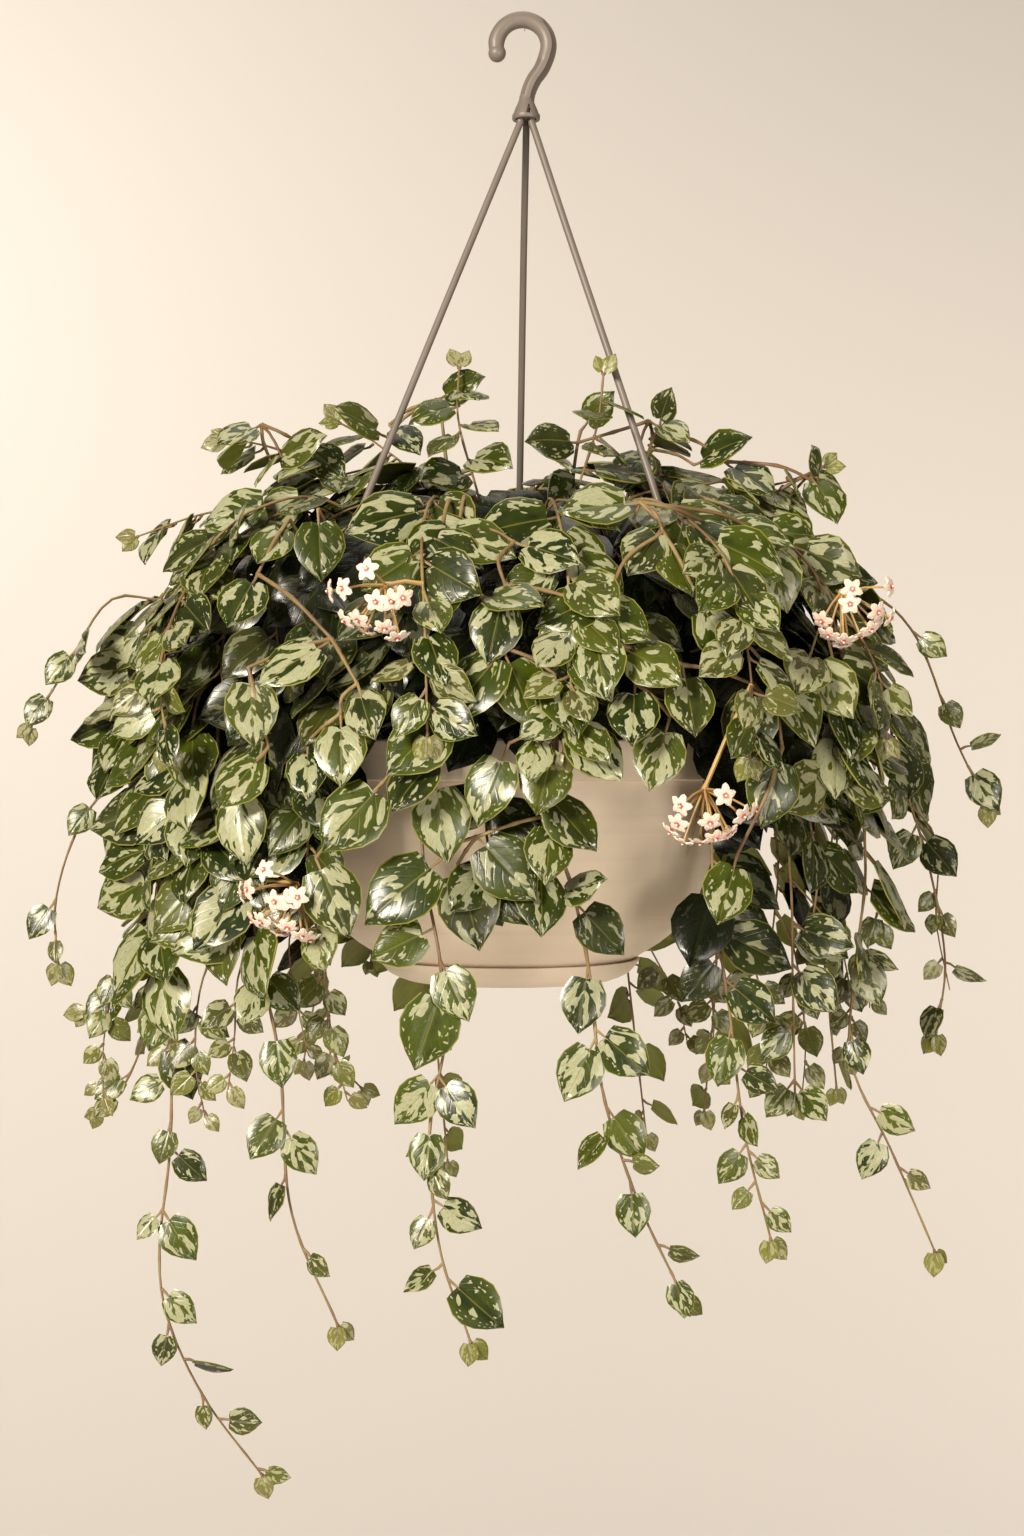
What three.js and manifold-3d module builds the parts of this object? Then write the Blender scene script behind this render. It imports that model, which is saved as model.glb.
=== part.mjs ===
// A hanging basket of Hoya curtisii: a bowl pot on three plastic arms with a hook, filled with a mound of
// small-leaved vines that spill over the rim and hang below it, with umbels of star flowers.
// Units are millimetres and +Z is up. The origin is the point of the hook that rests on its support.
import * as THREE from 'three';
import { mergeVertices } from 'three/addons/utils/BufferGeometryUtils.js';
import Module from 'manifold-3d';

const wasm = await Module();
wasm.setup();

// Driving dimensions of the basket
const HANG_TO_RIM = 321;
const POT_AXIS_X = -7;
const RIM_RADIUS = 102;
const RIM_BAND = 17;
const POT_DEPTH = 104.4;
const POT_WALL = 2.4;
const RIM_TOP_WALL = 3.4;
const POT_FACETS = 24;
const DRAIN_RADIUS = 4;
const DRAIN_RING = 28;
const DRAIN_COUNT = 4;
const SEAT_GAP = 0.3;
const SAUCER_WALL = 1.8;
const SAUCER_TOP = 97;
const SOIL_EDGE_DEPTH = 15;
const SOIL_CROWN_DEPTH = 9;

// Driving dimensions of the hanger
const HOOK_BEND_RADIUS = 11.8;
const HOOK_WIDTH = 7.4;
const HOOK_DEPTH = 7;
const HOOK_BEND_CENTRE = [-1.2, -8.1];
const HOOK_BEND_FROM = 196;
const HOOK_BEND_TO = -20;
const HOOK_BEND_STEP = 24;
const HOOK_NECK = [[7.4, 0, -18.4], [4.2, 0, -23], [2, 0, -27.6], [0.9, 0, -32], [0.5, 0, -38]];
const HOOK_TIP_RADIUS = 4.1;
const COLLAR_X = 0.5;
const COLLAR_TOP = -30;
const COLLAR_BOTTOM = -41.5;
const COLLAR_RADIUS = 6.3;
const SOCKET_RING = 3;
const SOCKET_RADIUS = 2.2;
const SOCKET_DEPTH = 4.5;
const ARM_RADIUS = 1.6;
const ARM_AZIMUTHS = { arm_back: 88, arm_front_left: 208, arm_front_right: 328 };
const ARM_BOW = [[24, 226], [54, 152], [84, 76], [95.5, 36]];
const ARM_PLAY = 1.5;
const CLIP_WIDTH = 9;
const CLIP_LEG = 8;
const CLIP_WALL = 1.8;
const CLIP_TOP = 3.6;
const CLIP_INSET = 3;

// Driving dimensions of the plant
const STEM_RADIUS = 1.3;
const STEM_SIDES = 3;
const INTERNODE = 30;
const ROOT_DEPTH = 18;
const HOLE_RADIUS = 4;
const HOLE_HEIGHT = 24;
const HOLE_SIDES = 3;
const PETIOLE = 5;
const LEAF_LENGTH = 29;
const LEAF_WIDTH_RATIO = 0.8;
const LEAF_THICKNESS = 0.8;
const LEAF_CLEARANCE = 0.35;
const LEAF_ROOT = 0.5;
const LEAF_ATTEMPTS = 5;
const LEAF_SWING = 24;
const LEAF_SWING_SPREAD = 36;
const LEAF_SWING_RETRY = 7;
const LEAF_STAND_OFF = 0.16;
const LEAF_STAND_OFF_SPREAD = 0.4;
const LEAF_ROLL = 1.1;
const LEAF_PITCH = 0.7;
const LEAF_SIZE_SPREAD = 0.24;
const CROWN_DROOP = 0.55;
const HANGING_MARKS = 400;
const HANGING_STAND_OFF = 0.2;
const HANGING_RETRY = 0.12;
const HANGING_ROOM = 12;
const BARE_SEGMENTS = 3;
const FLOWERS_PER_UMBEL = 9;
const FLOWER_RADIUS = 4.9;
const FLOWER_NOTCH = 2.2;
const FLOWER_THICKNESS = 1.4;
const PEDUNCLE_RADIUS = 1;
const PEDICEL_LENGTH = 20;
const PEDICEL_RADIUS = 0.55;
const UMBEL_SPREAD = 60;
const UMBEL_TWIST = 137.5;
const KNOB_RADIUS = 2.2;

// Vines that follow a route of their own. Each point is [across, back, up] in millimetres from the pot's
// axis and the rim's top edge, from where the stem leaves the mound to its tip. The stem below the first
// point is worked out by climb(). "leaves" is how many of the larger leaves stand on it.
const TRAILING_VINES = {
  left_long: { leaves: 13, path: [[-149, -55, -62], [-147, -55, -94], [-144, -55, -136], [-144, -57, -174],
    [-148, -60, -216], [-144, -62, -245], [-128, -64, -278], [-104, -64, -310]] },
  left_outer: { leaves: 6, path: [[-168, -25, -6], [-189, -25, -38], [-199, -25, -70], [-198, -25, -98]] },
  left_mid: { leaves: 8, path: [[-104, -95, -70], [-93, -100, -130], [-88, -104, -190], [-69, -104, -237]] },
  left_high: { leaves: 5, path: [[-145, -35, 61], [-173, -35, 61], [-192, -35, 32], [-208, -35, 6]] },
  left_low: { leaves: 6, path: [[-160, 30, -40], [-167, 30, -87], [-180, 30, -112], [-197, 30, -125]] },
  left_back: { leaves: 6, path: [[-150, 52, -40], [-168, 60, -120], [-182, 60, -160], [-196, 60, -176]] },
  left_inner: { leaves: 6, path: [[-95, 80, -50], [-89, 74, -110], [-84, 70, -150], [-71, 68, -166]] },
  front_left: { leaves: 11, path: [[-34, -128, -44], [-27, -132, -87], [-25, -132, -118], [-31, -132, -155],
    [-27, -132, -200], [-15, -130, -237]] },
  front_mid: { leaves: 11, path: [[14, -122, -24], [25, -124, -60], [32, -124, -95], [37, -126, -140],
    [51, -126, -183], [69, -126, -221]] },
  right_inner: { leaves: 10, path: [[84, -90, -66], [90, -92, -111], [96, -92, -160], [107, -92, -205]] },
  right_mid: { leaves: 6, root: 319, path: [[117, -75, -56], [118, -75, -100], [119, -75, -150]] },
  right_long: { leaves: 10, path: [[153, -45, -50], [149, -45, -95], [147, -45, -138], [164, -45, -176],
    [183, -45, -220]] },
  right_outer: { leaves: 7, path: [[174, 0, -8], [188, 0, -53], [196, 0, -98], [192, 0, -132]] },
  right_high: { leaves: 6, path: [[150, -20, 68], [178, -20, 48], [197, -20, 0], [211, -20, -28]] },
  back_right: { leaves: 6, path: [[142, 58, -40], [150, 62, -100], [156, 60, -165]] },
  back_mid_right: { leaves: 6, path: [[100, 112, -45], [104, 118, -110], [98, 120, -185]] },
  back_middle: { leaves: 6, path: [[54, 138, -40], [60, 142, -110], [70, 140, -200]] },
  back_mid_left: { leaves: 6, path: [[-38, 142, -45], [-40, 148, -120], [-32, 146, -215]] },
  back_left: { leaves: 6, path: [[-88, 118, -40], [-94, 124, -100], [-104, 122, -160]] },
};

// The leaves of the strands that hang free, as they are seen from the front: [height of the leaf's joint on
// its stem, swing of its tip from straight down in degrees (to the right where positive), length of its
// blade, turn of the blade about its midrib in degrees]
const HANGING_LEAVES = {
  left_long: [[-109, -16, 20, 0], [-128, 22, 23, 0], [-144, -63, 15, 20], [-162, -14, 14, 0],
    [-174, 49, 16, 0], [-199, -41, 12, 30], [-200, 36, 20, 0], [-233, 48, 16, 0], [-247, -10, 13, 0],
    [-262, 78, 17, 60], [-276, 6, 10, 20], [-287, 88, 14, 0], [-308, 78, 10, 10]],
  left_outer: [[-26, -38, 15, 10], [-70, -34, 16, 10], [-84, 3, 10, 20]],
  left_mid: [[-95, 46, 18, 0], [-97, -20, 18, 0], [-118, 9, 19, 0], [-150, -33, 19, 0],
    [-158, 35, 18, 0], [-176, -24, 15, 55], [-206, 46, 11, 20]],
  left_high: [[40, -41, 16, 10], [22, -35, 15, 10]],
  left_low: [[-112, -39, 20, 10]],
  left_back: [[-158, -56, 16, 20], [-166, -44, 13, 20]],
  front_left: [[-75, -65, 23, 10], [-87, 26, 22, 0], [-98, -19, 29, 0], [-132, -42, 21, 0], [-133, 37, 20, 0],
    [-151, -6, 18, 0], [-166, 24, 12, 20], [-181, 60, 17, 0], [-184, -26, 13, 20], [-206, -58, 14, 50],
    [-212, 50, 24, 0]],
  front_mid: [[-66, 43, 23, 0], [-91, -9, 22, 0], [-115, 50, 23, 0], [-119, -27, 23, 0], [-146, 36, 20, 0],
    [-154, -47, 16, 55], [-167, 84, 11, 20], [-175, 5, 17, 0], [-200, 71, 12, 40], [-210, 22, 14, 20]],
  right_inner: [[-89, -40, 20, 0], [-99, 50, 22, 0], [-118, -14, 20, 0], [-134, 60, 15, 10],
    [-145, -24, 11, 50], [-151, 20, 14, 50], [-166, -35, 15, 0], [-169, 50, 12, 10], [-181, -42, 10, 10],
    [-190, 46, 12, 0]],
  right_mid: [[-78, 71, 22, 0], [-94, 42, 22, 0], [-118, -42, 16, 0], [-142, -39, 15, 10], [-143, 38, 16, 10]],
  right_long: [[-89, 54, 15, 45], [-93, 24, 19, 0], [-125, 14, 15, 10], [-142, -18, 11, 0], [-158, 64, 17, 20],
    [-169, -24, 17, 0], [-184, 56, 11, 10]],
  right_outer: [[-38, -30, 18, 10], [-42, 38, 20, 10], [-75, 23, 11, 20], [-75, -22, 10, 30],
    [-100, 59, 15, 60], [-116, -29, 15, 50]],
  right_high: [[48, 50, 14, 10], [39, 62, 19, 10], [20, 27, 13, 10], [-4, 106, 14, 60], [-11, 33, 19, 0]],
};

// Vines of the dome and its loose sprigs, given the same way as the trailing ones
const DOME_VINES = {
  dome_front_left: { leaves: 8, path: [[-28, -84, 98], [-34, -128, 82], [-32, -153, 40], [-31, -156, 0]] },
  dome_front_mid: { leaves: 8, path: [[16, -88, 98], [22, -132, 72], [24, -150, 26], [20, -150, -6]] },
  dome_front_right: { leaves: 8, path: [[52, -70, 100], [84, -116, 74], [94, -132, 28], [94, -132, -8]] },
  dome_right: { leaves: 8, path: [[78, -38, 104], [120, -66, 78], [150, -80, 34], [156, -84, 0]] },
  dome_right_back: { leaves: 8, path: [[84, 24, 104], [132, 40, 76], [160, 50, 30], [164, 52, -10]] },
  dome_back_right: { leaves: 8, path: [[48, 70, 104], [78, 116, 78], [92, 138, 30], [94, 142, -10]] },
  dome_back: { leaves: 6, path: [[-9, 84, 104], [-12, 126, 80], [-10, 148, 32], [-10, 152, -8]] },
  dome_back_left: { leaves: 8, path: [[-42, 74, 104], [-70, 120, 78], [-84, 142, 30], [-86, 146, -10]] },
  dome_left_back: { leaves: 8, path: [[-82, 32, 104], [-130, 52, 78], [-152, 62, 30], [-156, 66, -10]] },
  dome_left: { leaves: 8, path: [[-84, -26, 102], [-128, -56, 76], [-142, -92, 34], [-138, -104, -4]] },
  sprig_top_left: { leaves: 4, path: [[-12, -30, 100], [-22, -34, 138], [-22, -26, 164]] },
  sprig_top_right: { leaves: 4, path: [[28, -26, 104], [38, -34, 136], [41, -34, 160]] },
  sprig_right: { leaves: 4, path: [[50, 14, 112], [66, 20, 134], [70, 16, 152]] },
  sprig_far_right: { leaves: 5, path: [[82, -8, 112], [118, -12, 114], [140, -14, 122]] },
  sprig_left: { leaves: 4, path: [[-40, 14, 116], [-60, 18, 136], [-78, 16, 146]] },
  sprig_far_left: { leaves: 5, path: [[-70, -6, 116], [-104, -12, 130], [-126, -14, 134]] },
  sprig_low_left: { leaves: 5, path: [[-94, 8, 106], [-134, 6, 104], [-168, 0, 92]] },
  sprig_back: { leaves: 4, path: [[6, 58, 108], [12, 92, 126], [10, 118, 128]] },
};

// Short vines that fill the curtain below the rim, one at each bearing
const CURTAIN_BEARINGS = [31, 54, 78, 97, 115, 133, 180, 234, 266, 332];
const CURTAIN_LEAVES = 5;
const CURTAIN_REACH = 148;
const CURTAIN_DROP = 96;
const FRONT_BEARING = 270;
const FRONT_REACH_LESS = 22;
const FRONT_DROP_LESS = 34;

// Umbels: the vine that carries each, the hub its flower stalks spring from, and the way they lean
const UMBELS = {
  umbel_front_left: { carrier: 'dome_front_left', hub: [-47, -150, 58], lean: [-0.5, -0.55, -0.7] },
  umbel_right: { carrier: 'dome_right', hub: [136, -90, 60], lean: [0.45, -0.55, -0.72] },
  umbel_front_right: { carrier: 'dome_front_right', hub: [76, -136, -20], lean: [0.15, -0.5, -0.86] },
  umbel_low_left: { carrier: 'left_mid', hub: [-84, -122, -58], lean: [-0.6, -0.5, -0.65] },
  umbel_back: { carrier: 'dome_back_right', hub: [84, 146, 8], lean: [0.1, 0.6, -0.75] },
};

// Materials
const potPlastic = new THREE.MeshStandardMaterial({ color: 0xb9a58f, roughness: 0.55, metalness: 0 });
const hangerPlastic = new THREE.MeshStandardMaterial({ color: 0x9c9289, roughness: 0.5, metalness: 0 });
const soilCrumb = new THREE.MeshStandardMaterial({ color: 0x3a2b20, roughness: 1, metalness: 0 });
const foliage = new THREE.MeshStandardMaterial({ color: 0x4f6a35, roughness: 0.45, metalness: 0 });
const petal = new THREE.MeshStandardMaterial({ color: 0xf0d6cc, roughness: 0.7, metalness: 0 });

const SLIVER = 0.02;
const WELD = 0.012;
const UP = new THREE.Vector3(0, 0, 1);
const LIGHTWARD = new THREE.Vector3(0, -0.35, 0.2);

function radians(degrees) {
  return degrees * Math.PI / 180;
}

// A repeatable draw between 0 and 1 for three whole numbers
function draw(a, b, c) {
  const wave = Math.sin(a * 12.9898 + b * 78.233 + c * 37.719) * 43758.5453;
  return wave - Math.floor(wave);
}

// Solids and meshes

function signedVolume(positions, indices) {
  let volume = 0;
  const corner = [new THREE.Vector3(), new THREE.Vector3(), new THREE.Vector3()];
  for (let i = 0; i < indices.length; i += 3) {
    corner.forEach((point, k) => point.fromArray(positions, 3 * indices[i + k]));
    volume += corner[0].dot(corner[1].cross(corner[2])) / 6;
  }
  return volume;
}

// Turns a closed three.js geometry into a solid: shared vertices merged, flat slivers at poles dropped
function solidOf(geometry) {
  const bare = geometry.clone();
  bare.deleteAttribute('normal');
  bare.deleteAttribute('uv');
  const merged = mergeVertices(bare, 1e-4);
  const positions = merged.attributes.position.array;
  const indices = [];
  const source = merged.index.array;
  for (let i = 0; i < source.length; i += 3) {
    const [a, b, c] = [source[i], source[i + 1], source[i + 2]];
    if (a !== b && b !== c && c !== a) indices.push(a, b, c);
  }
  if (signedVolume(positions, indices) < 0) indices.reverse();
  const mesh = new wasm.Mesh({
    numProp: 3,
    vertProperties: Float32Array.from(positions),
    triVerts: Uint32Array.from(indices),
  });
  mesh.merge();
  return new wasm.Manifold(mesh);
}

// Numbers each vertex by the first one that lies within WELD of it
function weldedNumbers(positions) {
  const numbers = [];
  const points = [];
  for (let i = 0; i < positions.length / 3; i += 1) {
    const point = new THREE.Vector3().fromArray(positions, 3 * i);
    const match = points.findIndex((other) => other.distanceTo(point) < WELD);
    numbers.push(match < 0 ? points.length : match);
    if (match < 0) points.push(point);
  }
  return { numbers, points };
}

// The surface of a solid. Vertices that all but coincide become one, and triangles that this flattens, or
// lays back to back on the same three vertices, are dropped.
function geometryOf(solid) {
  const mesh = solid.getMesh();
  const { numbers, points } = weldedNumbers(mesh.vertProperties);
  const triangles = new Map();
  for (let i = 0; i < mesh.triVerts.length; i += 3) {
    const triangle = [0, 1, 2].map((k) => numbers[mesh.triVerts[i + k]]);
    if (new Set(triangle).size < 3) continue;
    const key = [...triangle].sort((a, b) => a - b).join();
    if (triangles.has(key)) triangles.delete(key);
    else triangles.set(key, triangle);
  }
  const geometry = new THREE.BufferGeometry().setFromPoints(points);
  geometry.setIndex([...triangles.values()].flat());
  geometry.computeVertexNormals();
  return geometry;
}

// Joins solids, drops slivers finer than SLIVER, and keeps the one largest body so that no loose scrap is
// left beside it
function joined(solids) {
  const whole = solids.reduce((sum, next) => sum.add(next));
  const bodies = whole.asOriginal().simplify(SLIVER).decompose();
  return bodies.reduce((best, next) => (next.volume() > best.volume() ? next : best));
}

function bounds(geometry) {
  geometry.computeBoundingBox();
  return geometry.boundingBox;
}

// Profile of [radius, height] pairs turned round the vertical axis
function turned(profile, facets) {
  const points = profile.map(([radius, height]) => new THREE.Vector2(radius, height));
  points.push(points[0].clone());
  return new THREE.LatheGeometry(points, facets).rotateX(Math.PI / 2);
}

function uprightPrism(radius, height, sides) {
  return new THREE.CylinderGeometry(radius, radius, height, sides).rotateX(Math.PI / 2);
}

function smoothCurve(points) {
  const vectors = points.map((point) => new THREE.Vector3(...point));
  return new THREE.CatmullRomCurve3(vectors, false, 'catmullrom', 0.5);
}

function tubeAlong(curve, steps, radius, sides) {
  const corners = [];
  for (let i = 0; i < sides; i += 1) {
    const angle = 2 * Math.PI * i / sides;
    corners.push(new THREE.Vector2(radius * Math.cos(angle), radius * Math.sin(angle)));
  }
  const section = new THREE.Shape(corners);
  return new THREE.ExtrudeGeometry(section, { steps, bevelEnabled: false, extrudePath: curve });
}

// A thin plate round a bent middle surface. Both faces are split into the same triangles.
function plate(points, triangles, rim, thickness) {
  const count = points.length;
  const positions = [];
  for (const half of [thickness / 2, -thickness / 2]) {
    points.forEach(([along, across, lift]) => positions.push(along, across, lift + half));
  }
  const indices = [];
  triangles.forEach(([a, b, c]) => {
    indices.push(a, b, c);
    indices.push(a + count, c + count, b + count);
  });
  rim.forEach((from, i) => {
    const to = rim[(i + 1) % rim.length];
    indices.push(from, from + count, to + count);
    indices.push(from, to + count, to);
  });
  const geometry = new THREE.BufferGeometry();
  geometry.setAttribute('position', new THREE.Float32BufferAttribute(positions, 3));
  geometry.setIndex(indices);
  return geometry;
}

// Pot, saucer and soil

// Outside and inside of the pot's wall, from its rim down to its floor, as [radius, depth below the rim]
const POT_OUTSIDE = [
  [RIM_RADIUS, 0], [RIM_RADIUS - 0.6, RIM_BAND], [97.2, RIM_BAND + 0.8], [93.4, 44], [83.9, 71.2],
  [72.4, 86], [58, 95.6], [44, POT_DEPTH],
];
const POT_INSIDE = [
  [RIM_RADIUS - RIM_TOP_WALL, 0], [94.8, RIM_BAND + 0.6], [91, 43.4], [81.8, 69.8], [70.5, 84],
  [56.6, 93.2], [43.2, POT_DEPTH - POT_WALL],
];

function potSolid() {
  const profile = [
    [0, -POT_DEPTH],
    ...POT_OUTSIDE.map(([radius, depth]) => [radius, -depth]).reverse(),
    ...POT_INSIDE.map(([radius, depth]) => [radius, -depth]),
    [0, POT_WALL - POT_DEPTH],
  ];
  let pot = solidOf(turned(profile, POT_FACETS));
  for (let i = 0; i < DRAIN_COUNT; i += 1) {
    const bearing = radians(45 + 360 * i / DRAIN_COUNT);
    const hole = uprightPrism(DRAIN_RADIUS, 4 * POT_WALL, 8);
    hole.translate(DRAIN_RING * Math.cos(bearing), DRAIN_RING * Math.sin(bearing), -POT_DEPTH);
    pot = pot.subtract(solidOf(hole));
  }
  return pot;
}

// A shallow dish that clips under the bowl, its rim close round the wall
function saucerSolid() {
  const floor = -POT_DEPTH - SEAT_GAP;
  const profile = [
    [0, floor - SAUCER_WALL], [46.5, floor - SAUCER_WALL], [54, floor + 1.6], [58.6, -SAUCER_TOP],
    [57, -SAUCER_TOP], [52.4, floor + 3.2], [45.8, floor], [0, floor],
  ];
  return solidOf(turned(profile, POT_FACETS));
}

function soilSolid(rootPoints) {
  const floor = POT_WALL + SEAT_GAP - POT_DEPTH;
  const profile = [
    [0, -SOIL_CROWN_DEPTH], [60, -SOIL_CROWN_DEPTH - 2.5], [94.6, -SOIL_EDGE_DEPTH], [90.6, -43.4],
    [81.4, -69.8], [56.2, -92.9], [42.9, floor], [0, floor],
  ];
  let soil = solidOf(turned(profile, POT_FACETS));
  for (const [x, y] of rootPoints) {
    const hole = uprightPrism(HOLE_RADIUS, HOLE_HEIGHT, HOLE_SIDES);
    hole.translate(x, y, HOLE_HEIGHT / 2 - ROOT_DEPTH - SEAT_GAP);
    soil = soil.subtract(solidOf(hole));
  }
  return soil;
}

// Hook and arms

function hookSolid() {
  const [centreX, centreZ] = HOOK_BEND_CENTRE;
  const points = [];
  for (let degrees = HOOK_BEND_FROM; degrees >= HOOK_BEND_TO; degrees -= HOOK_BEND_STEP) {
    const angle = radians(degrees);
    const x = centreX + HOOK_BEND_RADIUS * Math.cos(angle);
    points.push([x, 0, centreZ + HOOK_BEND_RADIUS * Math.sin(angle)]);
  }
  points.push(...HOOK_NECK);
  const section = tubeAlong(smoothCurve(points), 18, HOOK_WIDTH / 2, 8);
  section.scale(1, HOOK_DEPTH / HOOK_WIDTH, 1);
  const ball = new THREE.SphereGeometry(HOOK_TIP_RADIUS, 8, 6);
  ball.translate(...points[0]);
  const collar = turned([
    [0, COLLAR_TOP], [2.9, COLLAR_TOP], [3.9, -33.5], [5.8, -37.4], [COLLAR_RADIUS, -39.2],
    [COLLAR_RADIUS, COLLAR_BOTTOM], [0, COLLAR_BOTTOM],
  ], 12);
  collar.translate(COLLAR_X, 0, 0);
  let hook = joined([solidOf(section), solidOf(ball), solidOf(collar)]);
  for (const azimuth of Object.values(ARM_AZIMUTHS)) {
    const socket = uprightPrism(SOCKET_RADIUS, 2 * SOCKET_DEPTH, 6);
    const angle = radians(azimuth);
    const x = COLLAR_X + SOCKET_RING * Math.cos(angle);
    socket.translate(x, SOCKET_RING * Math.sin(angle), COLLAR_BOTTOM);
    hook = hook.subtract(solidOf(socket));
  }
  return hook;
}

// A clip that straddles the rim, drawn across the rim and extruded along it
function clipGeometry() {
  const inside = RIM_RADIUS - RIM_TOP_WALL - CLIP_INSET;
  const outside = RIM_RADIUS + SEAT_GAP;
  const outline = new THREE.Shape();
  outline.moveTo(inside - CLIP_WALL, -CLIP_LEG);
  outline.lineTo(inside, -CLIP_LEG);
  outline.lineTo(inside, SEAT_GAP);
  outline.lineTo(outside, SEAT_GAP);
  outline.lineTo(outside, -CLIP_LEG);
  outline.lineTo(outside + CLIP_WALL, -CLIP_LEG);
  outline.lineTo(outside + CLIP_WALL, CLIP_TOP);
  outline.lineTo(inside - CLIP_WALL, CLIP_TOP);
  const clip = new THREE.ExtrudeGeometry(outline, { depth: CLIP_WIDTH, bevelEnabled: false });
  return clip.translate(0, 0, -CLIP_WIDTH / 2).rotateX(Math.PI / 2);
}

// An arm: a peg in the hook's socket, a slim rod that bows a little outwards, and a clip over the rim
function armSolid(azimuth) {
  const turn = radians(azimuth);
  const collarX = COLLAR_X - POT_AXIS_X;
  const topX = collarX + SOCKET_RING * Math.cos(turn);
  const topY = SOCKET_RING * Math.sin(turn);
  const collarHeight = HANG_TO_RIM + COLLAR_BOTTOM;
  const seat = (RIM_RADIUS + RIM_RADIUS - RIM_TOP_WALL) / 2;
  const along = (radius, height) => {
    const back = 1 - radius / seat;
    return [radius * Math.cos(turn) + collarX * back, radius * Math.sin(turn), height];
  };
  const below = collarHeight - ARM_PLAY;
  const pegBottom = below - 0.7;
  const pegTop = collarHeight + SOCKET_DEPTH - 0.5;
  const peg = uprightPrism(ARM_RADIUS, pegTop - pegBottom, 6);
  peg.translate(topX, topY, (pegTop + pegBottom) / 2);
  const bow = ARM_BOW.map(([radius, height]) => along(radius, height));
  const points = [[topX, topY, below], ...bow, along(seat, CLIP_TOP - ARM_RADIUS)];
  const rod = tubeAlong(smoothCurve(points), 6, ARM_RADIUS, 6);
  const clip = clipGeometry().rotateZ(turn);
  return joined([solidOf(peg), solidOf(rod), solidOf(clip)]);
}

// Stems

// The hidden start of a vine: out of the soil, up inside the mound and over to its first listed point
function climb(first, rootBearing) {
  const [x, y, z] = first;
  const reach = Math.hypot(x, y);
  const bearing = rootBearing === undefined ? Math.atan2(y, x) : radians(rootBearing);
  const at = (radius, height) => [radius * Math.cos(bearing), radius * Math.sin(bearing), height];
  const rooted = (radius) => [at(radius, -ROOT_DEPTH), at(radius, 10)];
  if (z > 90) return [...rooted(0.36 * reach), at(0.6 * reach, 0.6 * z)];
  if (z > 30) return [...rooted(54), at(0.62 * reach, z + 8)];
  return [...rooted(74), at(0.76 * reach, 38), [0.95 * x, 0.95 * y, z < -30 ? 14 : 32]];
}

function curtainPath(bearing) {
  const turn = radians(bearing);
  const front = Math.max(0, Math.cos(turn - radians(FRONT_BEARING))) ** 2;
  const wander = 8 * (draw(bearing, 1, 0) - 0.5);
  const reach = CURTAIN_REACH - FRONT_REACH_LESS * front + wander;
  const drop = CURTAIN_DROP - FRONT_DROP_LESS * front + 4 * wander;
  const at = (radius, height, sway) => {
    const angle = turn + sway / radius;
    return [radius * Math.cos(angle), radius * Math.sin(angle), height];
  };
  return [at(reach, -34, 0), at(reach + 4, -0.62 * drop, wander), at(reach, -drop, 2 * wander)];
}

function vineCurve(path, rootBearing) {
  return smoothCurve([...climb(path[0], rootBearing), ...path]);
}

// The joints of a stem, evenly spaced along it. Leaves and umbels spring from them.
function stemJoints(curve) {
  const steps = Math.round(curve.getLength() / INTERNODE);
  return curve.getSpacedPoints(steps);
}

// Leaves

// Outline of a leaf as [along, across] in parts of its length and width, from its stalk to its tip
const LEAF_OUTLINE = [[0, 0], [0.32, -0.46], [0.64, -0.42], [1, 0], [0.64, 0.42], [0.32, 0.46]];
const LEAF_LIFT = [0, 0.05, 0, -0.1, 0, 0.05];
const LEAF_FACES = [[0, 1, 5], [1, 3, 5], [1, 2, 3], [3, 4, 5]];
const LEAF_RIM = [0, 1, 2, 3, 4, 5];

// "start" is how far from the stem's middle the plate begins, and "grow" how much larger it is all round
function leafGeometry(length, width, start, grow) {
  const whole = length + PETIOLE + grow;
  const points = LEAF_OUTLINE.map(([along, across], i) => {
    return [Math.max(along * whole, start), across * (width + 2 * grow), LEAF_LIFT[i] * length];
  });
  return plate(points, LEAF_FACES, LEAF_RIM, LEAF_THICKNESS + 2 * grow);
}

// The place of a leaf from its joint and the ways it points and faces. The face is made square to the midrib.
function leafMatrix(point, along, face) {
  along.normalize();
  face.addScaledVector(along, -face.dot(along)).normalize();
  const across = new THREE.Vector3().crossVectors(face, along);
  return new THREE.Matrix4().makeBasis(along, across, face).setPosition(point);
}

// Where a leaf of the mound points and faces: its tip down the mound's side and outward, its face to the light
function mountedMatrix(point, side, seed, attempt) {
  const outward = new THREE.Vector3(point.x, point.y, CROWN_DROOP * Math.max(0, point.z));
  outward.normalize();
  outward.addScaledVector(LIGHTWARD, 1);
  outward.normalize();
  const down = outward.clone().multiplyScalar(outward.z).sub(UP).normalize();
  const sideways = new THREE.Vector3().crossVectors(outward, down);
  const swing = radians(LEAF_SWING + LEAF_SWING_SPREAD * draw(seed, 1, attempt) + LEAF_SWING_RETRY * attempt);
  const standOff = LEAF_STAND_OFF + LEAF_STAND_OFF_SPREAD * draw(seed, 2, attempt);
  const along = down.clone().multiplyScalar(Math.cos(swing));
  along.addScaledVector(sideways, side * Math.sin(swing));
  along.addScaledVector(outward, standOff);
  const face = outward.clone();
  face.addScaledVector(sideways, LEAF_ROLL * (draw(seed, 3, attempt) - 0.5));
  face.addScaledVector(down, LEAF_PITCH * (draw(seed, 4, attempt) - 0.5));
  return leafMatrix(point, along, face);
}

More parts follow.
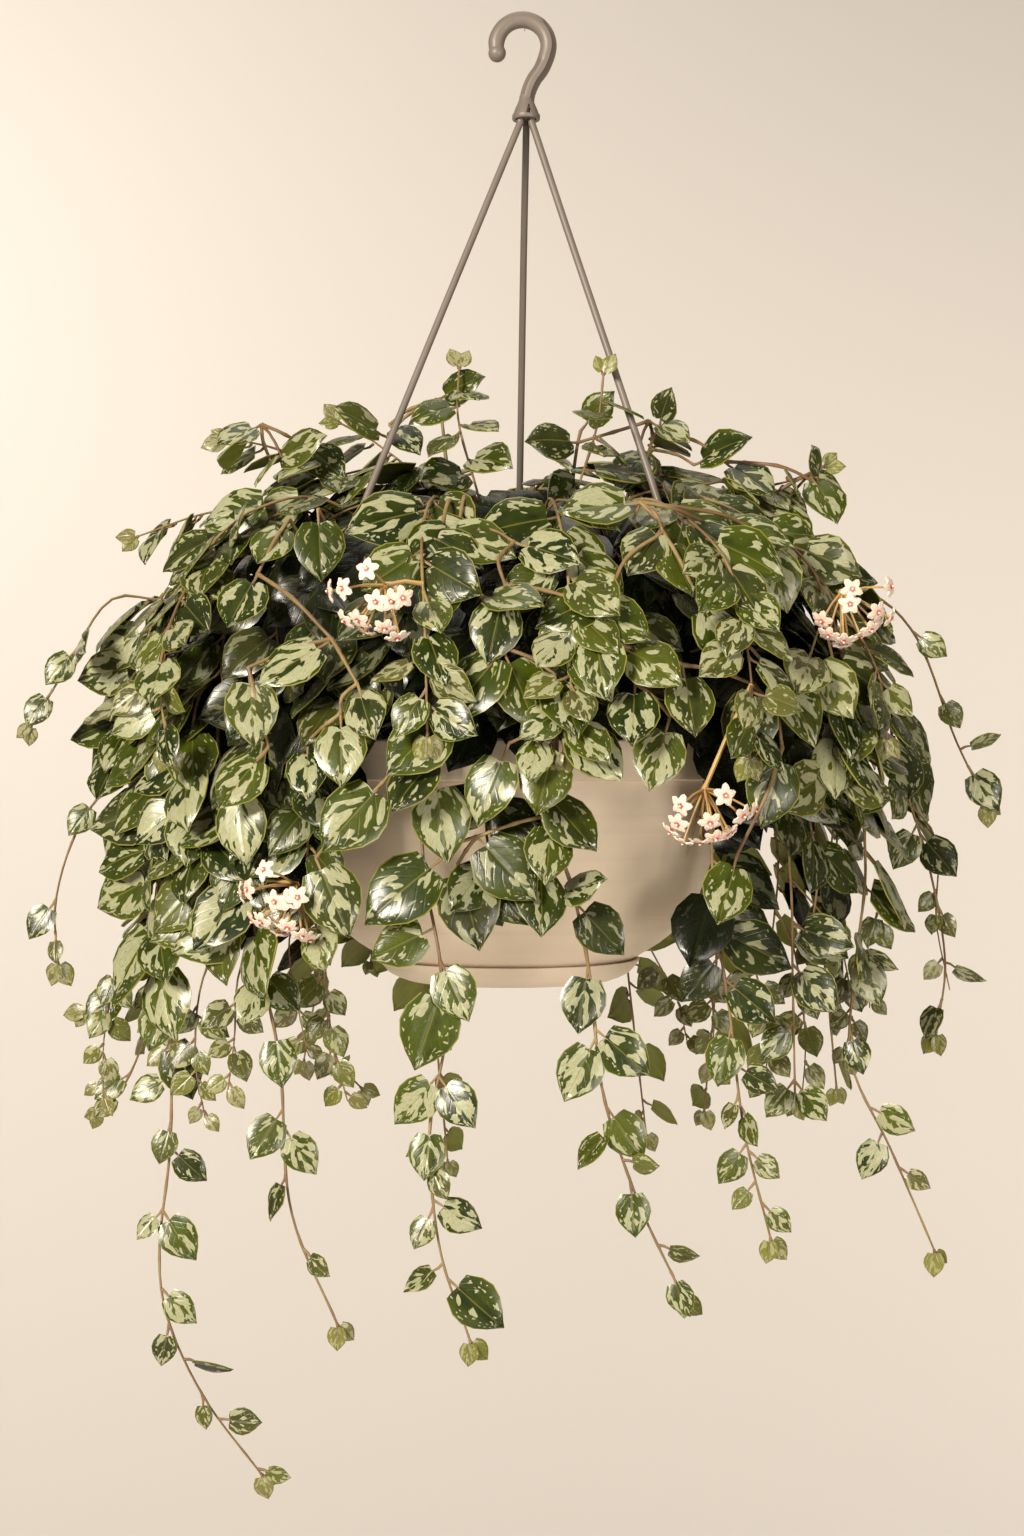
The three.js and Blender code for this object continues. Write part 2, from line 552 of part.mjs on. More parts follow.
// Where a listed leaf of a hanging strand points and faces. It stands off a little to the front.
function hangingMatrix(point, swing, turn, attempt) {
  const tip = radians(swing);
  const standOff = HANGING_STAND_OFF + HANGING_RETRY * attempt;
  const along = new THREE.Vector3(Math.sin(tip), -standOff, -Math.cos(tip)).normalize();
  const face = new THREE.Vector3(0, -1, 0);
  face.addScaledVector(along, -face.dot(along)).applyAxisAngle(along, radians(turn));
  return leafMatrix(point, along, face);
}

// Leaves are smaller towards the tip of a stem
function leafLength(place, seed) {
  const young = Math.max(0, (place - 0.5) / 0.5);
  const size = 1 + LEAF_SIZE_SPREAD * (draw(seed, 5, 0) - 0.5);
  return LEAF_LENGTH * size * (1 - 0.5 * young ** 1.4);
}

// Every solid that a new leaf must stay clear of
const obstacles = [];

function addObstacle(geometry, solid, owner) {
  obstacles.push({ box: bounds(geometry).clone(), solid, owner });
}

function isClear(vine, length, matrix) {
  const width = LEAF_WIDTH_RATIO * length;
  const wideGeometry = leafGeometry(length, width, LEAF_ROOT, LEAF_CLEARANCE).applyMatrix4(matrix);
  const bladeGeometry = leafGeometry(length, width, 0.3 * length, 0).applyMatrix4(matrix);
  const box = bounds(wideGeometry);
  const wide = solidOf(wideGeometry);
  const blade = solidOf(bladeGeometry);
  const clear = obstacles.every((obstacle) => {
    if (!box.intersectsBox(obstacle.box)) return true;
    const own = obstacle.owner === vine;
    const overlap = (own ? blade : wide).intersect(obstacle.solid);
    const empty = overlap.isEmpty();
    overlap.delete();
    return empty;
  });
  wide.delete();
  blade.delete();
  return clear;
}

// Tries a leaf a few ways, and keeps the first that touches nothing
function growLeaf(vine, length, matrixOf) {
  for (let attempt = 0; attempt < LEAF_ATTEMPTS; attempt += 1) {
    const matrix = matrixOf(attempt);
    if (isClear(vine, length, matrix)) {
      const width = LEAF_WIDTH_RATIO * length;
      const geometry = leafGeometry(length, width, LEAF_ROOT, 0).applyMatrix4(matrix);
      const solid = solidOf(geometry);
      addObstacle(geometry, solid, vine);
      vine.parts.push(solid);
      vine.leavesLeft -= 1;
      return;
    }
  }
}

function growHangingLeaf(vine, [height, swing, length, turn]) {
  const spot = vine.marks.findLast(({ z }) => z >= height);
  growLeaf(vine, length, (attempt) => hangingMatrix(spot, swing, turn, attempt));
}

// A leaf on one side of a stem segment
function growSideLeaf(vine, segment, side) {
  const seed = 100 * vine.number + 2 * segment + (side > 0 ? 1 : 0);
  const length = leafLength(segment / (vine.joints.length - 1), seed);
  const spot = vine.joints[segment].clone().lerp(vine.joints[segment + 1], 0.5 + 0.1 * side);
  growLeaf(vine, length, (attempt) => mountedMatrix(spot, side, seed, attempt));
}

// Umbels

// A five-pointed star with a flat back and a face that rises to its middle
function starGeometry() {
  const positions = [0, 0, FLOWER_THICKNESS];
  const indices = [];
  for (let i = 0; i < 10; i += 1) {
    const angle = 2 * Math.PI * i / 10;
    const radius = i % 2 === 0 ? FLOWER_RADIUS : FLOWER_NOTCH;
    positions.push(radius * Math.cos(angle), radius * Math.sin(angle), 0);
    indices.push(0, 1 + i, 1 + (i + 1) % 10);
  }
  for (let i = 1; i <= 10; i += 2) {
    const before = i === 1 ? 10 : i - 1;
    indices.push(i, before, i + 1);
  }
  indices.push(2, 10, 4, 4, 10, 8, 4, 8, 6);
  const geometry = new THREE.BufferGeometry();
  geometry.setAttribute('position', new THREE.Float32BufferAttribute(positions, 3));
  geometry.setIndex(indices);
  return geometry;
}

function rodBetween(from, to, radius, endRadius, sides) {
  const axis = new THREE.Vector3().subVectors(to, from);
  const rod = new THREE.CylinderGeometry(endRadius, radius, axis.length(), sides);
  rod.translate(0, axis.length() / 2, 0);
  const turn = new THREE.Quaternion().setFromUnitVectors(new THREE.Vector3(0, 1, 0), axis.normalize());
  return rod.applyQuaternion(turn).translate(from.x, from.y, from.z);
}

// Directions that spread evenly over a cap round the way the umbel leans
function stalkDirection(lean, index) {
  const spread = radians(UMBEL_SPREAD) * Math.sqrt(index / (FLOWERS_PER_UMBEL - 1));
  const spin = radians(UMBEL_TWIST) * index;
  const tilt = new THREE.Quaternion().setFromUnitVectors(UP, lean);
  const direction = new THREE.Vector3(
    Math.sin(spread) * Math.cos(spin),
    Math.sin(spread) * Math.sin(spin),
    Math.cos(spread),
  );
  return direction.applyQuaternion(tilt);
}

// The end of the umbel's own stem, just clear of the vine that carries it, at any joint but the vine's tip
function peduncleStart(vine, hub) {
  const distances = vine.joints.slice(0, -1).map((joint) => joint.distanceTo(hub));
  const nearest = distances.indexOf(Math.min(...distances));
  const joint = vine.joints[nearest];
  const stemwise = vine.joints[nearest - 1].clone().sub(joint).normalize();
  const outward = hub.clone().sub(joint).normalize();
  const slant = Math.abs(outward.dot(stemwise));
  const square = Math.sqrt(1 - slant * slant);
  const stand = (STEM_RADIUS + SEAT_GAP + PEDUNCLE_RADIUS * slant) / square;
  return joint.clone().addScaledVector(outward, stand);
}

function umbelSolid(vine, umbel, number) {
  const hub = new THREE.Vector3(...umbel.hub);
  const lean = new THREE.Vector3(...umbel.lean).normalize();
  const start = peduncleStart(vine, hub);
  const parts = [solidOf(rodBetween(start, hub, PEDUNCLE_RADIUS, PEDUNCLE_RADIUS, 4))];
  const knob = new THREE.OctahedronGeometry(KNOB_RADIUS).translate(hub.x, hub.y, hub.z);
  parts.push(solidOf(knob));
  for (let i = 0; i < FLOWERS_PER_UMBEL; i += 1) {
    const direction = stalkDirection(lean, i);
    const reach = PEDICEL_LENGTH * (0.94 + 0.16 * draw(number, i, 7));
    const centre = hub.clone().addScaledVector(direction, reach);
    const stalkEnd = centre.clone().addScaledVector(direction, 0.5 * FLOWER_THICKNESS);
    parts.push(solidOf(rodBetween(hub, stalkEnd, PEDICEL_RADIUS, 0, 3)));
    const star = starGeometry().rotateZ(6 * draw(number, i, 8));
    star.applyQuaternion(new THREE.Quaternion().setFromUnitVectors(UP, direction));
    parts.push(solidOf(star.translate(centre.x, centre.y, centre.z)));
  }
  return joined(parts);
}

// Assembly

const hangingBasket = new THREE.Group();
const basket = new THREE.Group();
basket.position.set(POT_AXIS_X, 0, -HANG_TO_RIM);
hangingBasket.add(basket);

function addNode(parent, name, solid, material) {
  const mesh = new THREE.Mesh(geometryOf(solid), material);
  mesh.name = name;
  parent.add(mesh);
  return mesh;
}

function addFixed(name, solid, material) {
  const mesh = addNode(basket, name, solid, material);
  addObstacle(mesh.geometry, solid, name);
}

addNode(hangingBasket, 'hook', hookSolid(), hangerPlastic);
for (const [name, azimuth] of Object.entries(ARM_AZIMUTHS)) {
  addFixed(name, armSolid(azimuth), hangerPlastic);
}
addFixed('pot', potSolid(), potPlastic);
addFixed('saucer', saucerSolid(), potPlastic);

const curtainVines = {};
CURTAIN_BEARINGS.forEach((bearing) => {
  curtainVines[`curtain_${bearing}`] = { leaves: CURTAIN_LEAVES, path: curtainPath(bearing) };
});

const vines = {};
Object.entries({ ...TRAILING_VINES, ...DOME_VINES, ...curtainVines }).forEach(([name, plan], number) => {
  const curve = vineCurve(plan.path, plan.root);
  const joints = stemJoints(curve);
  const geometry = tubeAlong(curve, joints.length - 1, STEM_RADIUS, STEM_SIDES);
  const stem = solidOf(geometry);
  const marks = curve.getSpacedPoints(HANGING_MARKS);
  const hanging = HANGING_LEAVES[name] ?? [];
  // Above its listed leaves a stem gets leaves as the mound's do
  const lowest = hanging.length > 0 ? hanging[0][0] + HANGING_ROOM : -Infinity;
  vines[name] = { name, number, joints, marks, hanging, lowest, parts: [stem], leavesLeft: plan.leaves };
  addObstacle(geometry, stem, vines[name]);
});

addFixed('soil', soilSolid(Object.values(vines).map(({ joints }) => [joints[0].x, joints[0].y])), soilCrumb);

Object.entries(UMBELS).forEach(([name, umbel], number) => {
  addFixed(name, umbelSolid(vines[umbel.carrier], umbel, number), petal);
});

for (const vine of Object.values(vines)) {
  for (const leaf of vine.hanging) growHangingLeaf(vine, leaf);
}

// The others go on one at a time, vine by vine and from each tip inwards, so that every vine gets its share
const mostJoints = Math.max(...Object.values(vines).map(({ joints }) => joints.length));
for (const side of [1, -1]) {
  for (let step = 0; step < mostJoints; step += 1) {
    for (const vine of Object.values(vines)) {
      const segment = vine.joints.length - 2 - step;
      const facing = segment % 2 === 0 ? side : -side;
      const open = segment >= BARE_SEGMENTS && vine.joints[segment]?.z > vine.lowest;
      if (open && vine.leavesLeft > 0) growSideLeaf(vine, segment, facing);
    }
  }
}

for (const vine of Object.values(vines)) {
  addNode(basket, `vine_${vine.name}`, joined(vine.parts), foliage);
}

export default hangingBasket;
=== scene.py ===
import math
import random

import bpy
import numpy as np
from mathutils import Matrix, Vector


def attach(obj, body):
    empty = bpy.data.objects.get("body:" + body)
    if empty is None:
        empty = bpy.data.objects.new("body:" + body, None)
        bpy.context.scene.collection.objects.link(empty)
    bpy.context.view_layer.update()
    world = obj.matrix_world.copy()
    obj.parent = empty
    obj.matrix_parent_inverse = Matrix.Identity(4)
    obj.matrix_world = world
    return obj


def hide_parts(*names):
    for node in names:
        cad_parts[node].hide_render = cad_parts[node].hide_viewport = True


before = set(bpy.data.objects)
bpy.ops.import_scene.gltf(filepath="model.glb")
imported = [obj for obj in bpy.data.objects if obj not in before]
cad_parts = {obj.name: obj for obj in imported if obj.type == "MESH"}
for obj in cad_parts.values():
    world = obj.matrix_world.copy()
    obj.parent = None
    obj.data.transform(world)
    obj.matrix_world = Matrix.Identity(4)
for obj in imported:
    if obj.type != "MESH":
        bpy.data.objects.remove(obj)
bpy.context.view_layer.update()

bl_info = {
    "name": "Hanging Basket of Hoya",
    "version": (1, 0, 0),
    "blender": (4, 5, 0),
    "location": "View3D > Sidebar > Basket",
    "description": "Dresses a hanging basket of trailing hoya: hanger, bowl, saucer, soil, vines and flowers",
    "category": "Add Mesh",
}

MM = 0.001

# The pot's axis and the top of its rim, in millimetres from the point of the hook that bears the load
AXIS = np.array([-7.0, 0.0, -321.0])

# Routes of the vines: [across, back, up] in millimetres from the pot's axis and the top of its rim
TRAILING = {
    "left_long": [[-149, -55, -62], [-147, -55, -94], [-144, -55, -136], [-144, -57, -174],
                  [-148, -60, -216], [-144, -62, -245], [-128, -64, -278], [-104, -64, -310]],
    "left_outer": [[-168, -25, -6], [-189, -25, -38], [-199, -25, -70], [-198, -25, -98]],
    "left_mid": [[-104, -95, -70], [-93, -100, -130], [-88, -104, -190], [-69, -104, -237]],
    "left_high": [[-145, -35, 61], [-173, -35, 61], [-192, -35, 32], [-208, -35, 6]],
    "left_low": [[-160, 30, -40], [-167, 30, -87], [-180, 30, -112], [-197, 30, -125]],
    "left_back": [[-150, 52, -40], [-168, 60, -120], [-182, 60, -160], [-196, 60, -176]],
    "left_inner": [[-95, 80, -50], [-89, 74, -110], [-84, 70, -150], [-71, 68, -166]],
    "front_left": [[-34, -128, -44], [-27, -132, -87], [-25, -132, -118], [-31, -132, -155],
                   [-27, -132, -200], [-15, -130, -237]],
    "front_mid": [[14, -122, -24], [25, -124, -60], [32, -124, -95], [37, -126, -140], [51, -126, -183],
                  [69, -126, -221]],
    "right_inner": [[84, -90, -66], [90, -92, -111], [96, -92, -160], [107, -92, -205]],
    "right_mid": [[117, -75, -56], [118, -75, -100], [119, -75, -150]],
    "right_long": [[153, -45, -50], [149, -45, -95], [147, -45, -138], [164, -45, -176], [183, -45, -220]],
    "right_outer": [[174, 0, -8], [188, 0, -53], [196, 0, -98], [192, 0, -132]],
    "right_high": [[150, -20, 68], [178, -20, 48], [197, -20, 0], [211, -20, -28]],
    "back_right": [[142, 58, -40], [150, 62, -100], [156, 60, -165]],
    "back_mid_right": [[100, 112, -45], [104, 118, -110], [98, 120, -185]],
    "back_middle": [[54, 138, -40], [60, 142, -110], [70, 140, -200]],
    "back_mid_left": [[-38, 142, -45], [-40, 148, -120], [-32, 146, -215]],
    "back_left": [[-88, 118, -40], [-94, 124, -100], [-104, 122, -160]],
}
ROOT_BEARING = {"right_mid": 319}
DOME = {
    "dome_front_left": [[-28, -84, 98], [-34, -128, 82], [-32, -153, 40], [-31, -156, 0]],
    "dome_front_mid": [[16, -88, 98], [22, -132, 72], [24, -150, 26], [20, -150, -6]],
    "dome_front_right": [[52, -70, 100], [84, -116, 74], [94, -132, 28], [94, -132, -8]],
    "dome_right": [[78, -38, 104], [120, -66, 78], [150, -80, 34], [156, -84, 0]],
    "dome_right_back": [[84, 24, 104], [132, 40, 76], [160, 50, 30], [164, 52, -10]],
    "dome_back_right": [[48, 70, 104], [78, 116, 78], [92, 138, 30], [94, 142, -10]],
    "dome_back": [[-9, 84, 104], [-12, 126, 80], [-10, 148, 32], [-10, 152, -8]],
    "dome_back_left": [[-42, 74, 104], [-70, 120, 78], [-84, 142, 30], [-86, 146, -10]],
    "dome_left_back": [[-82, 32, 104], [-130, 52, 78], [-152, 62, 30], [-156, 66, -10]],
    "dome_left": [[-84, -26, 102], [-128, -56, 76], [-142, -92, 34], [-138, -104, -4]],
    "sprig_top_left": [[-12, -30, 100], [-22, -34, 138], [-22, -26, 164]],
    "sprig_top_right": [[28, -26, 104], [38, -34, 136], [41, -34, 160]],
    "sprig_right": [[50, 14, 112], [66, 20, 134], [70, 16, 152]],
    "sprig_far_right": [[82, -8, 112], [118, -12, 114], [140, -14, 122]],
    "sprig_left": [[-40, 14, 116], [-60, 18, 136], [-78, 16, 146]],
    "sprig_far_left": [[-70, -6, 116], [-104, -12, 130], [-126, -14, 134]],
    "sprig_low_left": [[-94, 8, 106], [-134, 6, 104], [-168, 0, 92]],
    "sprig_back": [[6, 58, 108], [12, 92, 126], [10, 118, 128]],
}
# The leaves of the strands that hang free: [height of the joint, swing of the tip from straight down in
# degrees, length, turn of the blade about its midrib in degrees]
HANGING = {
    "left_long": [[-109, -16, 20, 0], [-128, 22, 23, 0], [-144, -63, 15, 20], [-162, -14, 14, 0],
                  [-174, 49, 16, 0], [-199, -41, 12, 30], [-200, 36, 20, 0], [-233, 48, 16, 0],
                  [-247, -10, 13, 0], [-262, 78, 17, 60], [-276, 6, 10, 20], [-287, 88, 14, 0],
                  [-308, 78, 10, 10]],
    "left_outer": [[-26, -38, 15, 10], [-70, -34, 16, 10], [-84, 3, 10, 20]],
    "left_mid": [[-95, 46, 18, 0], [-97, -20, 18, 0], [-118, 9, 19, 0], [-150, -33, 19, 0],
                 [-158, 35, 18, 0], [-176, -24, 15, 55], [-206, 46, 11, 20]],
    "left_high": [[40, -41, 16, 10], [22, -35, 15, 10]],
    "left_low": [[-112, -39, 20, 10]],
    "left_back": [[-158, -56, 16, 20], [-166, -44, 13, 20]],
    "front_left": [[-75, -65, 23, 10], [-87, 26, 22, 0], [-98, -19, 29, 0], [-132, -42, 21, 0],
                   [-133, 37, 20, 0], [-151, -6, 18, 0], [-166, 24, 12, 20], [-181, 60, 17, 0],
                   [-184, -26, 13, 20], [-206, -58, 14, 50], [-212, 50, 24, 0]],
    "front_mid": [[-66, 43, 23, 0], [-91, -9, 22, 0], [-115, 50, 23, 0], [-119, -27, 23, 0],
                  [-146, 36, 20, 0], [-154, -47, 16, 55], [-167, 84, 11, 20], [-175, 5, 17, 0],
                  [-200, 71, 12, 40], [-210, 22, 14, 20]],
    "right_inner": [[-89, -40, 20, 0], [-99, 50, 22, 0], [-118, -14, 20, 0], [-134, 60, 15, 10],
                    [-145, -24, 11, 50], [-151, 20, 14, 50], [-166, -35, 15, 0], [-169, 50, 12, 10],
                    [-181, -42, 10, 10], [-190, 46, 12, 0]],
    "right_mid": [[-78, 71, 22, 0], [-94, 42, 22, 0], [-118, -42, 16, 0], [-142, -39, 15, 10],
                  [-143, 38, 16, 10]],
    "right_long": [[-89, 54, 15, 45], [-93, 24, 19, 0], [-125, 14, 15, 10], [-142, -18, 11, 0],
                   [-158, 64, 17, 20], [-169, -24, 17, 0], [-184, 56, 11, 10]],
    "right_outer": [[-38, -30, 18, 10], [-42, 38, 20, 10], [-75, 23, 11, 20], [-75, -22, 10, 30],
                    [-100, 59, 15, 60], [-116, -29, 15, 50]],
    "right_high": [[48, 50, 14, 10], [39, 62, 19, 10], [20, 27, 13, 10], [-4, 106, 14, 60],
                   [-11, 33, 19, 0]],
}
# Leaves of the mound's front: [base across, base up, tip across, tip up] in millimetres from the line of
# sight, as the camera sees them in the upright plane through the pot's axis
FRONT_LEAVES = {
    "top": [[-61, 152, -78, 161], [-30, 168, -15, 175], [-52, 152, -41, 142], [26, 147, 8, 147],
            [34, 156, 43, 167], [67, 157, 70, 169], [67, 154, 79, 147], [86, 139, 104, 149],
            [100, 135, 117, 121], [-89, 142, -76, 131], [-103, 140, -84, 149], [-117, 153, -131, 145],
            [138, 133, 135, 144], [137, 128, 145, 111]],
    "crown": [[-60, 128, -85, 114], [59, 140, 47, 126], [-87, 110, -85, 84], [-104, 107, -113, 91],
              [-28, 106, -47, 91], [-26, 105, 2, 95], [7, 100, 30, 92], [51, 119, 21, 115],
              [65, 105, 52, 88], [71, 100, 81, 77], [98, 107, 126, 101], [118, 116, 133, 100],
              [116, 96, 124, 71]],
    "shoulder": [[-30, 85, -34, 66], [-9, 77, 14, 73], [37, 75, 11, 66], [38, 72, 62, 58],
                 [-5, 74, -11, 47], [38, 58, 41, 33], [54, 52, 75, 39], [87, 70, 103, 45],
                 [-88, 54, -114, 37], [-117, 83, -126, 63], [-58, 59, -58, 34], [-7, 49, -31, 23],
                 [-1, 47, 12, 18], [78, 40, 82, 14], [108, 32, 104, 2], [122, 37, 139, 13],
                 [21, 38, 30, 17], [55, 33, 53, 11], [-68, 32, -62, 14], [-118, 38, -115, 10]],
    "rim": [[-77, 18, -76, -8], [-32, 21, -56, -3], [28, 16, 50, -5], [69, 16, 61, -10], [12, 11, 7, -4],
            [-92, 6, -91, -12], [-115, 3, -131, -17], [-5, 3, -17, -24], [18, 6, 11, -21],
            [-62, -11, -85, -37], [-34, -10, -28, -41], [-38, 1, -54, -18], [19, -16, 38, -37],
            [69, -20, 61, -45], [-123, -14, -120, -43], [-12, -35, 11, -59], [17, -28, 16, -49]],
    "bowl": [[-37, -45, -66, -68], [-23, -49, -14, -81], [24, -56, 41, -48], [13, -49, 14, -73],
             [-86, -46, -73, -75], [100, -45, 92, -69], [120, 2, 113, -26], [98, 7, 86, -18]],
}
# Short strands that hang out of the curtain: [top across, top up, tip across, tip up, depth behind the
# axis, pairs of leaves], in the same plane
FRINGE = {
    "left": [[-172, -84, -184, -150, -20, 4], [-138, -100, -138, -158, -60, 4],
             [-84, -86, -74, -150, -84, 4], [-122, -98, -128, -146, -70, 3],
             [-156, -90, -152, -132, -10, 3], [-100, -84, -92, -128, -20, 3]],
    "right": [[60, -84, 79, -124, 50, 3], [104, -84, 113, -146, -64, 4], [125, -84, 130, -154, -50, 4],
              [146, -84, 149, -132, -30, 3], [166, -56, 161, -108, -20, 3], [190, -38, 197, -100, 0, 2],
              [86, -84, 90, -138, 40, 4]],
}
CURTAIN_BEARINGS = [31, 54, 78, 97, 115, 133, 180, 234, 266, 332]
UMBELS = {
    "umbel_front_left": ("dome_front_left", [-47, -150, 58], [-0.5, -0.55, -0.7]),
    "umbel_right": ("dome_right", [136, -90, 60], [0.45, -0.55, -0.72]),
    "umbel_front_right": ("dome_front_right", [76, -136, -20], [0.15, -0.5, -0.86]),
    "umbel_low_left": ("left_mid", [-84, -122, -58], [-0.6, -0.5, -0.65]),
    "umbel_back": ("dome_back_right", [84, 146, 8], [0.1, 0.6, -0.75]),
}
ARM_AZIMUTHS = {"arm_back": 88, "arm_front_left": 208, "arm_front_right": 328}
# Above these places of the picture's plane nothing hides the three arms
CLEAR_ABOVE = (128.0, 112.0, 100.0)

# Measures of the solids, which the finer pieces keep to
INTERNODE = 30.0
ROOT_DEPTH = 18.0
ROOT_RISE = 10
# Vines that start over these heights belong to the crown or the shoulder, the others to the curtain
CROWN_FROM, SHOULDER_FROM = 90, 30
SHOULDER_ROOT, CURTAIN_ROOT = 54, 74
CURTAIN_REACH, CURTAIN_FRONT_IN = 148, 22
CURTAIN_DROP, CURTAIN_FRONT_UP = 96, 34
CURTAIN_WANDER = 8
PETIOLE = 5.0
LEAF_LENGTH = 29.0
LEAF_RATIO = 0.8
LEAF_SIZE_SPREAD = 0.24
LEAF_SWING = 24
LEAF_SWING_SPREAD = 36
LEAF_SWING_RETRY = 7
LEAF_STAND_OFF = 0.16
LEAF_STAND_OFF_SPREAD = 0.4
LEAF_ROLL = 1.1
LEAF_PITCH = 0.7
CROWN_DROOP = 0.55
BARE_SEGMENTS = 3
ATTEMPTS = 5
HANGING_MARKS = 400
HANGING_ROOM = 12.0
HANGING_STAND_OFF = 0.2
HANGING_RETRY = 0.12
COLLAR_X = 0.5
COLLAR_FOOT = -41.5
SOCKET_RING = 3
SOCKET_RADIUS = 2.2
ARM_RADIUS = 1.6
# The arm's middle line below its peg: [distance from the pot's axis, height over the rim], before the
# line is moved aside to meet the collar
ARM_BOW = [(24, 226), (54, 152), (84, 76), (95.5, 36)]
ARM_TOP = 278.0
CLIP_SEAT = 100.3
CLIP_SEAT_HEIGHT = 2.0
FLOWERS = 9
FLOWER_RADIUS = 4.9
PEDICEL = 20.0
UMBEL_SPREAD = 60
UMBEL_TWIST = 137.5

UP = np.array([0.0, 0.0, 1.0])
# What turns the leaves to the light
LIGHTWARD = np.array([0.0, -0.35, 0.2])
# The camera, from the pot's axis and the top of its rim
EYE = np.array([1.15, -1000.0, -12.0])


def metres(point):
    """A place in millimetres from the pot's axis and rim as a place in the frame."""
    return (point + AXIS) * MM


def unit(v):
    return v / np.linalg.norm(v)


def draw(a, b, c):
    """A repeatable draw between 0 and 1 for three numbers."""
    wave = math.sin(a * 12.9898 + b * 78.233 + c * 37.719) * 43758.5453
    return wave - math.floor(wave)


class Route:
    """A smooth curve through listed points, measured along its length."""

    PARTS = 200

    def __init__(self, points):
        self.points = [np.array(p, float) for p in points]
        marks = np.array([self.point(i / self.PARTS) for i in range(self.PARTS + 1)])
        steps = np.linalg.norm(np.diff(marks, axis=0), axis=1)
        self.lengths = np.concatenate([[0.0], np.cumsum(steps)])
        self.length = float(self.lengths[-1])

    def point(self, t):
        last = len(self.points) - 1
        place = last * t
        first = min(int(math.floor(place)), last - 1)
        weight = place - first
        p = self.points
        a = p[first - 1] if first > 0 else 2 * p[0] - p[1]
        b, c = p[first], p[first + 1]
        d = p[first + 2] if first + 2 <= last else 2 * p[last] - p[last - 1]
        slope_b, slope_c = 0.5 * (c - a), 0.5 * (d - b)
        square, cube = weight ** 2, weight ** 3
        return (b + slope_b * weight + (-3 * b + 3 * c - 2 * slope_b - slope_c) * square
                + (2 * b - 2 * c + slope_b + slope_c) * cube)

    def along(self, share):
        """The point at a share of the whole length."""
        target = share * self.length
        i = int(np.searchsorted(self.lengths, target, side="right")) - 1
        i = max(0, min(i, self.PARTS - 1))
        span = self.lengths[i + 1] - self.lengths[i]
        rest = (target - self.lengths[i]) / span if span > 0 else 0.0
        return self.point((i + min(rest, 1.0)) / self.PARTS)

    def spaced(self, steps):
        return [self.along(i / steps) for i in range(steps + 1)]


def climb(first, root_bearing):
    """The hidden start of a vine: out of the soil, up inside the mound and over to its first listed point."""
    x, y, z = first
    reach = math.hypot(x, y)
    bearing = math.atan2(y, x) if root_bearing is None else math.radians(root_bearing)

    def at(radius, height):
        return [radius * math.cos(bearing), radius * math.sin(bearing), height]

    def rooted(radius):
        return [at(radius, -ROOT_DEPTH), at(radius, ROOT_RISE)]

    if z > CROWN_FROM:
        return rooted(0.36 * reach) + [at(0.6 * reach, 0.6 * z)]
    if z > SHOULDER_FROM:
        return rooted(SHOULDER_ROOT) + [at(0.62 * reach, z + 8)]
    return rooted(CURTAIN_ROOT) + [at(0.76 * reach, 38), [0.95 * x, 0.95 * y, 14 if z < -30 else 32]]


def curtain_path(bearing):
    """A short vine of the curtain, from the rim down. It is shorter and nearer the pot at the front."""
    turn = math.radians(bearing)
    front = max(0.0, math.cos(turn - math.radians(270))) ** 2
    wander = CURTAIN_WANDER * (draw(bearing, 1, 0) - 0.5)
    reach = CURTAIN_REACH - CURTAIN_FRONT_IN * front + wander
    drop = CURTAIN_DROP - CURTAIN_FRONT_UP * front + 4 * wander

    def at(radius, height, sway):
        angle = turn + sway / radius
        return [radius * math.cos(angle), radius * math.sin(angle), height]

    return [at(reach, -34, 0), at(reach + 4, -0.62 * drop, wander), at(reach, -drop, 2 * wander)]


class Vine:
    """One stem of the solids: its route, its joints and its number in the order of the lists."""

    def __init__(self, name, number, path):
        self.name = name
        self.number = number
        self.route = Route(climb(path[0], ROOT_BEARING.get(name)) + path)
        # The solids' source rounds a half up, so this does too
        self.joints = self.route.spaced(int(math.floor(self.route.length / INTERNODE + 0.5)))
        self.hanging = HANGING.get(name, [])
        self.marks = self.route.spaced(HANGING_MARKS) if self.hanging else []
        self.lowest = self.hanging[0][0] + HANGING_ROOM if self.hanging else -math.inf
        self.leaves = []

    def mark(self, height):
        """The lowest marked point of the stem that is no lower than a height."""
        return [p for p in self.marks if p[2] >= height][-1]

    def segment_point(self, segment, share):
        a, b = self.joints[segment], self.joints[segment + 1]
        return a + (b - a) * share


def all_vines():
    paths = {**TRAILING, **DOME}
    for bearing in CURTAIN_BEARINGS:
        paths[f"curtain_{bearing}"] = curtain_path(bearing)
    return {name: Vine(name, i, path) for i, (name, path) in enumerate(paths.items())}


class Leaf:
    """One leaf: where its stalk starts, the way it points and faces, its length, and its looks."""

    def __init__(self, spot, along, face, length, petiole=PETIOLE):
        self.spot, self.along, self.face = spot, along, face
        self.length, self.petiole = length, petiole
        # The last of these is the painted shade, from 0 for none to 1 for a leaf deep in the mound.
        self.seed, self.silver, self.youth, self.painted_shade = 0.5, 0.5, 0.0, 0.0

    @property
    def across(self):
        return np.cross(self.face, self.along)

    @property
    def base(self):
        return self.spot + self.along * self.petiole

    @property
    def centre(self):
        return self.base + self.along * 0.45 * self.length

    def outline(self):
        half = 0.5 * LEAF_RATIO * self.length
        spots = [(0, 0), (0.25, 0.85), (0.6, 0.8), (1, 0), (0.6, -0.8), (0.25, -0.85)]
        return [self.base + self.along * a * self.length + self.across * c * half for a, c in spots]


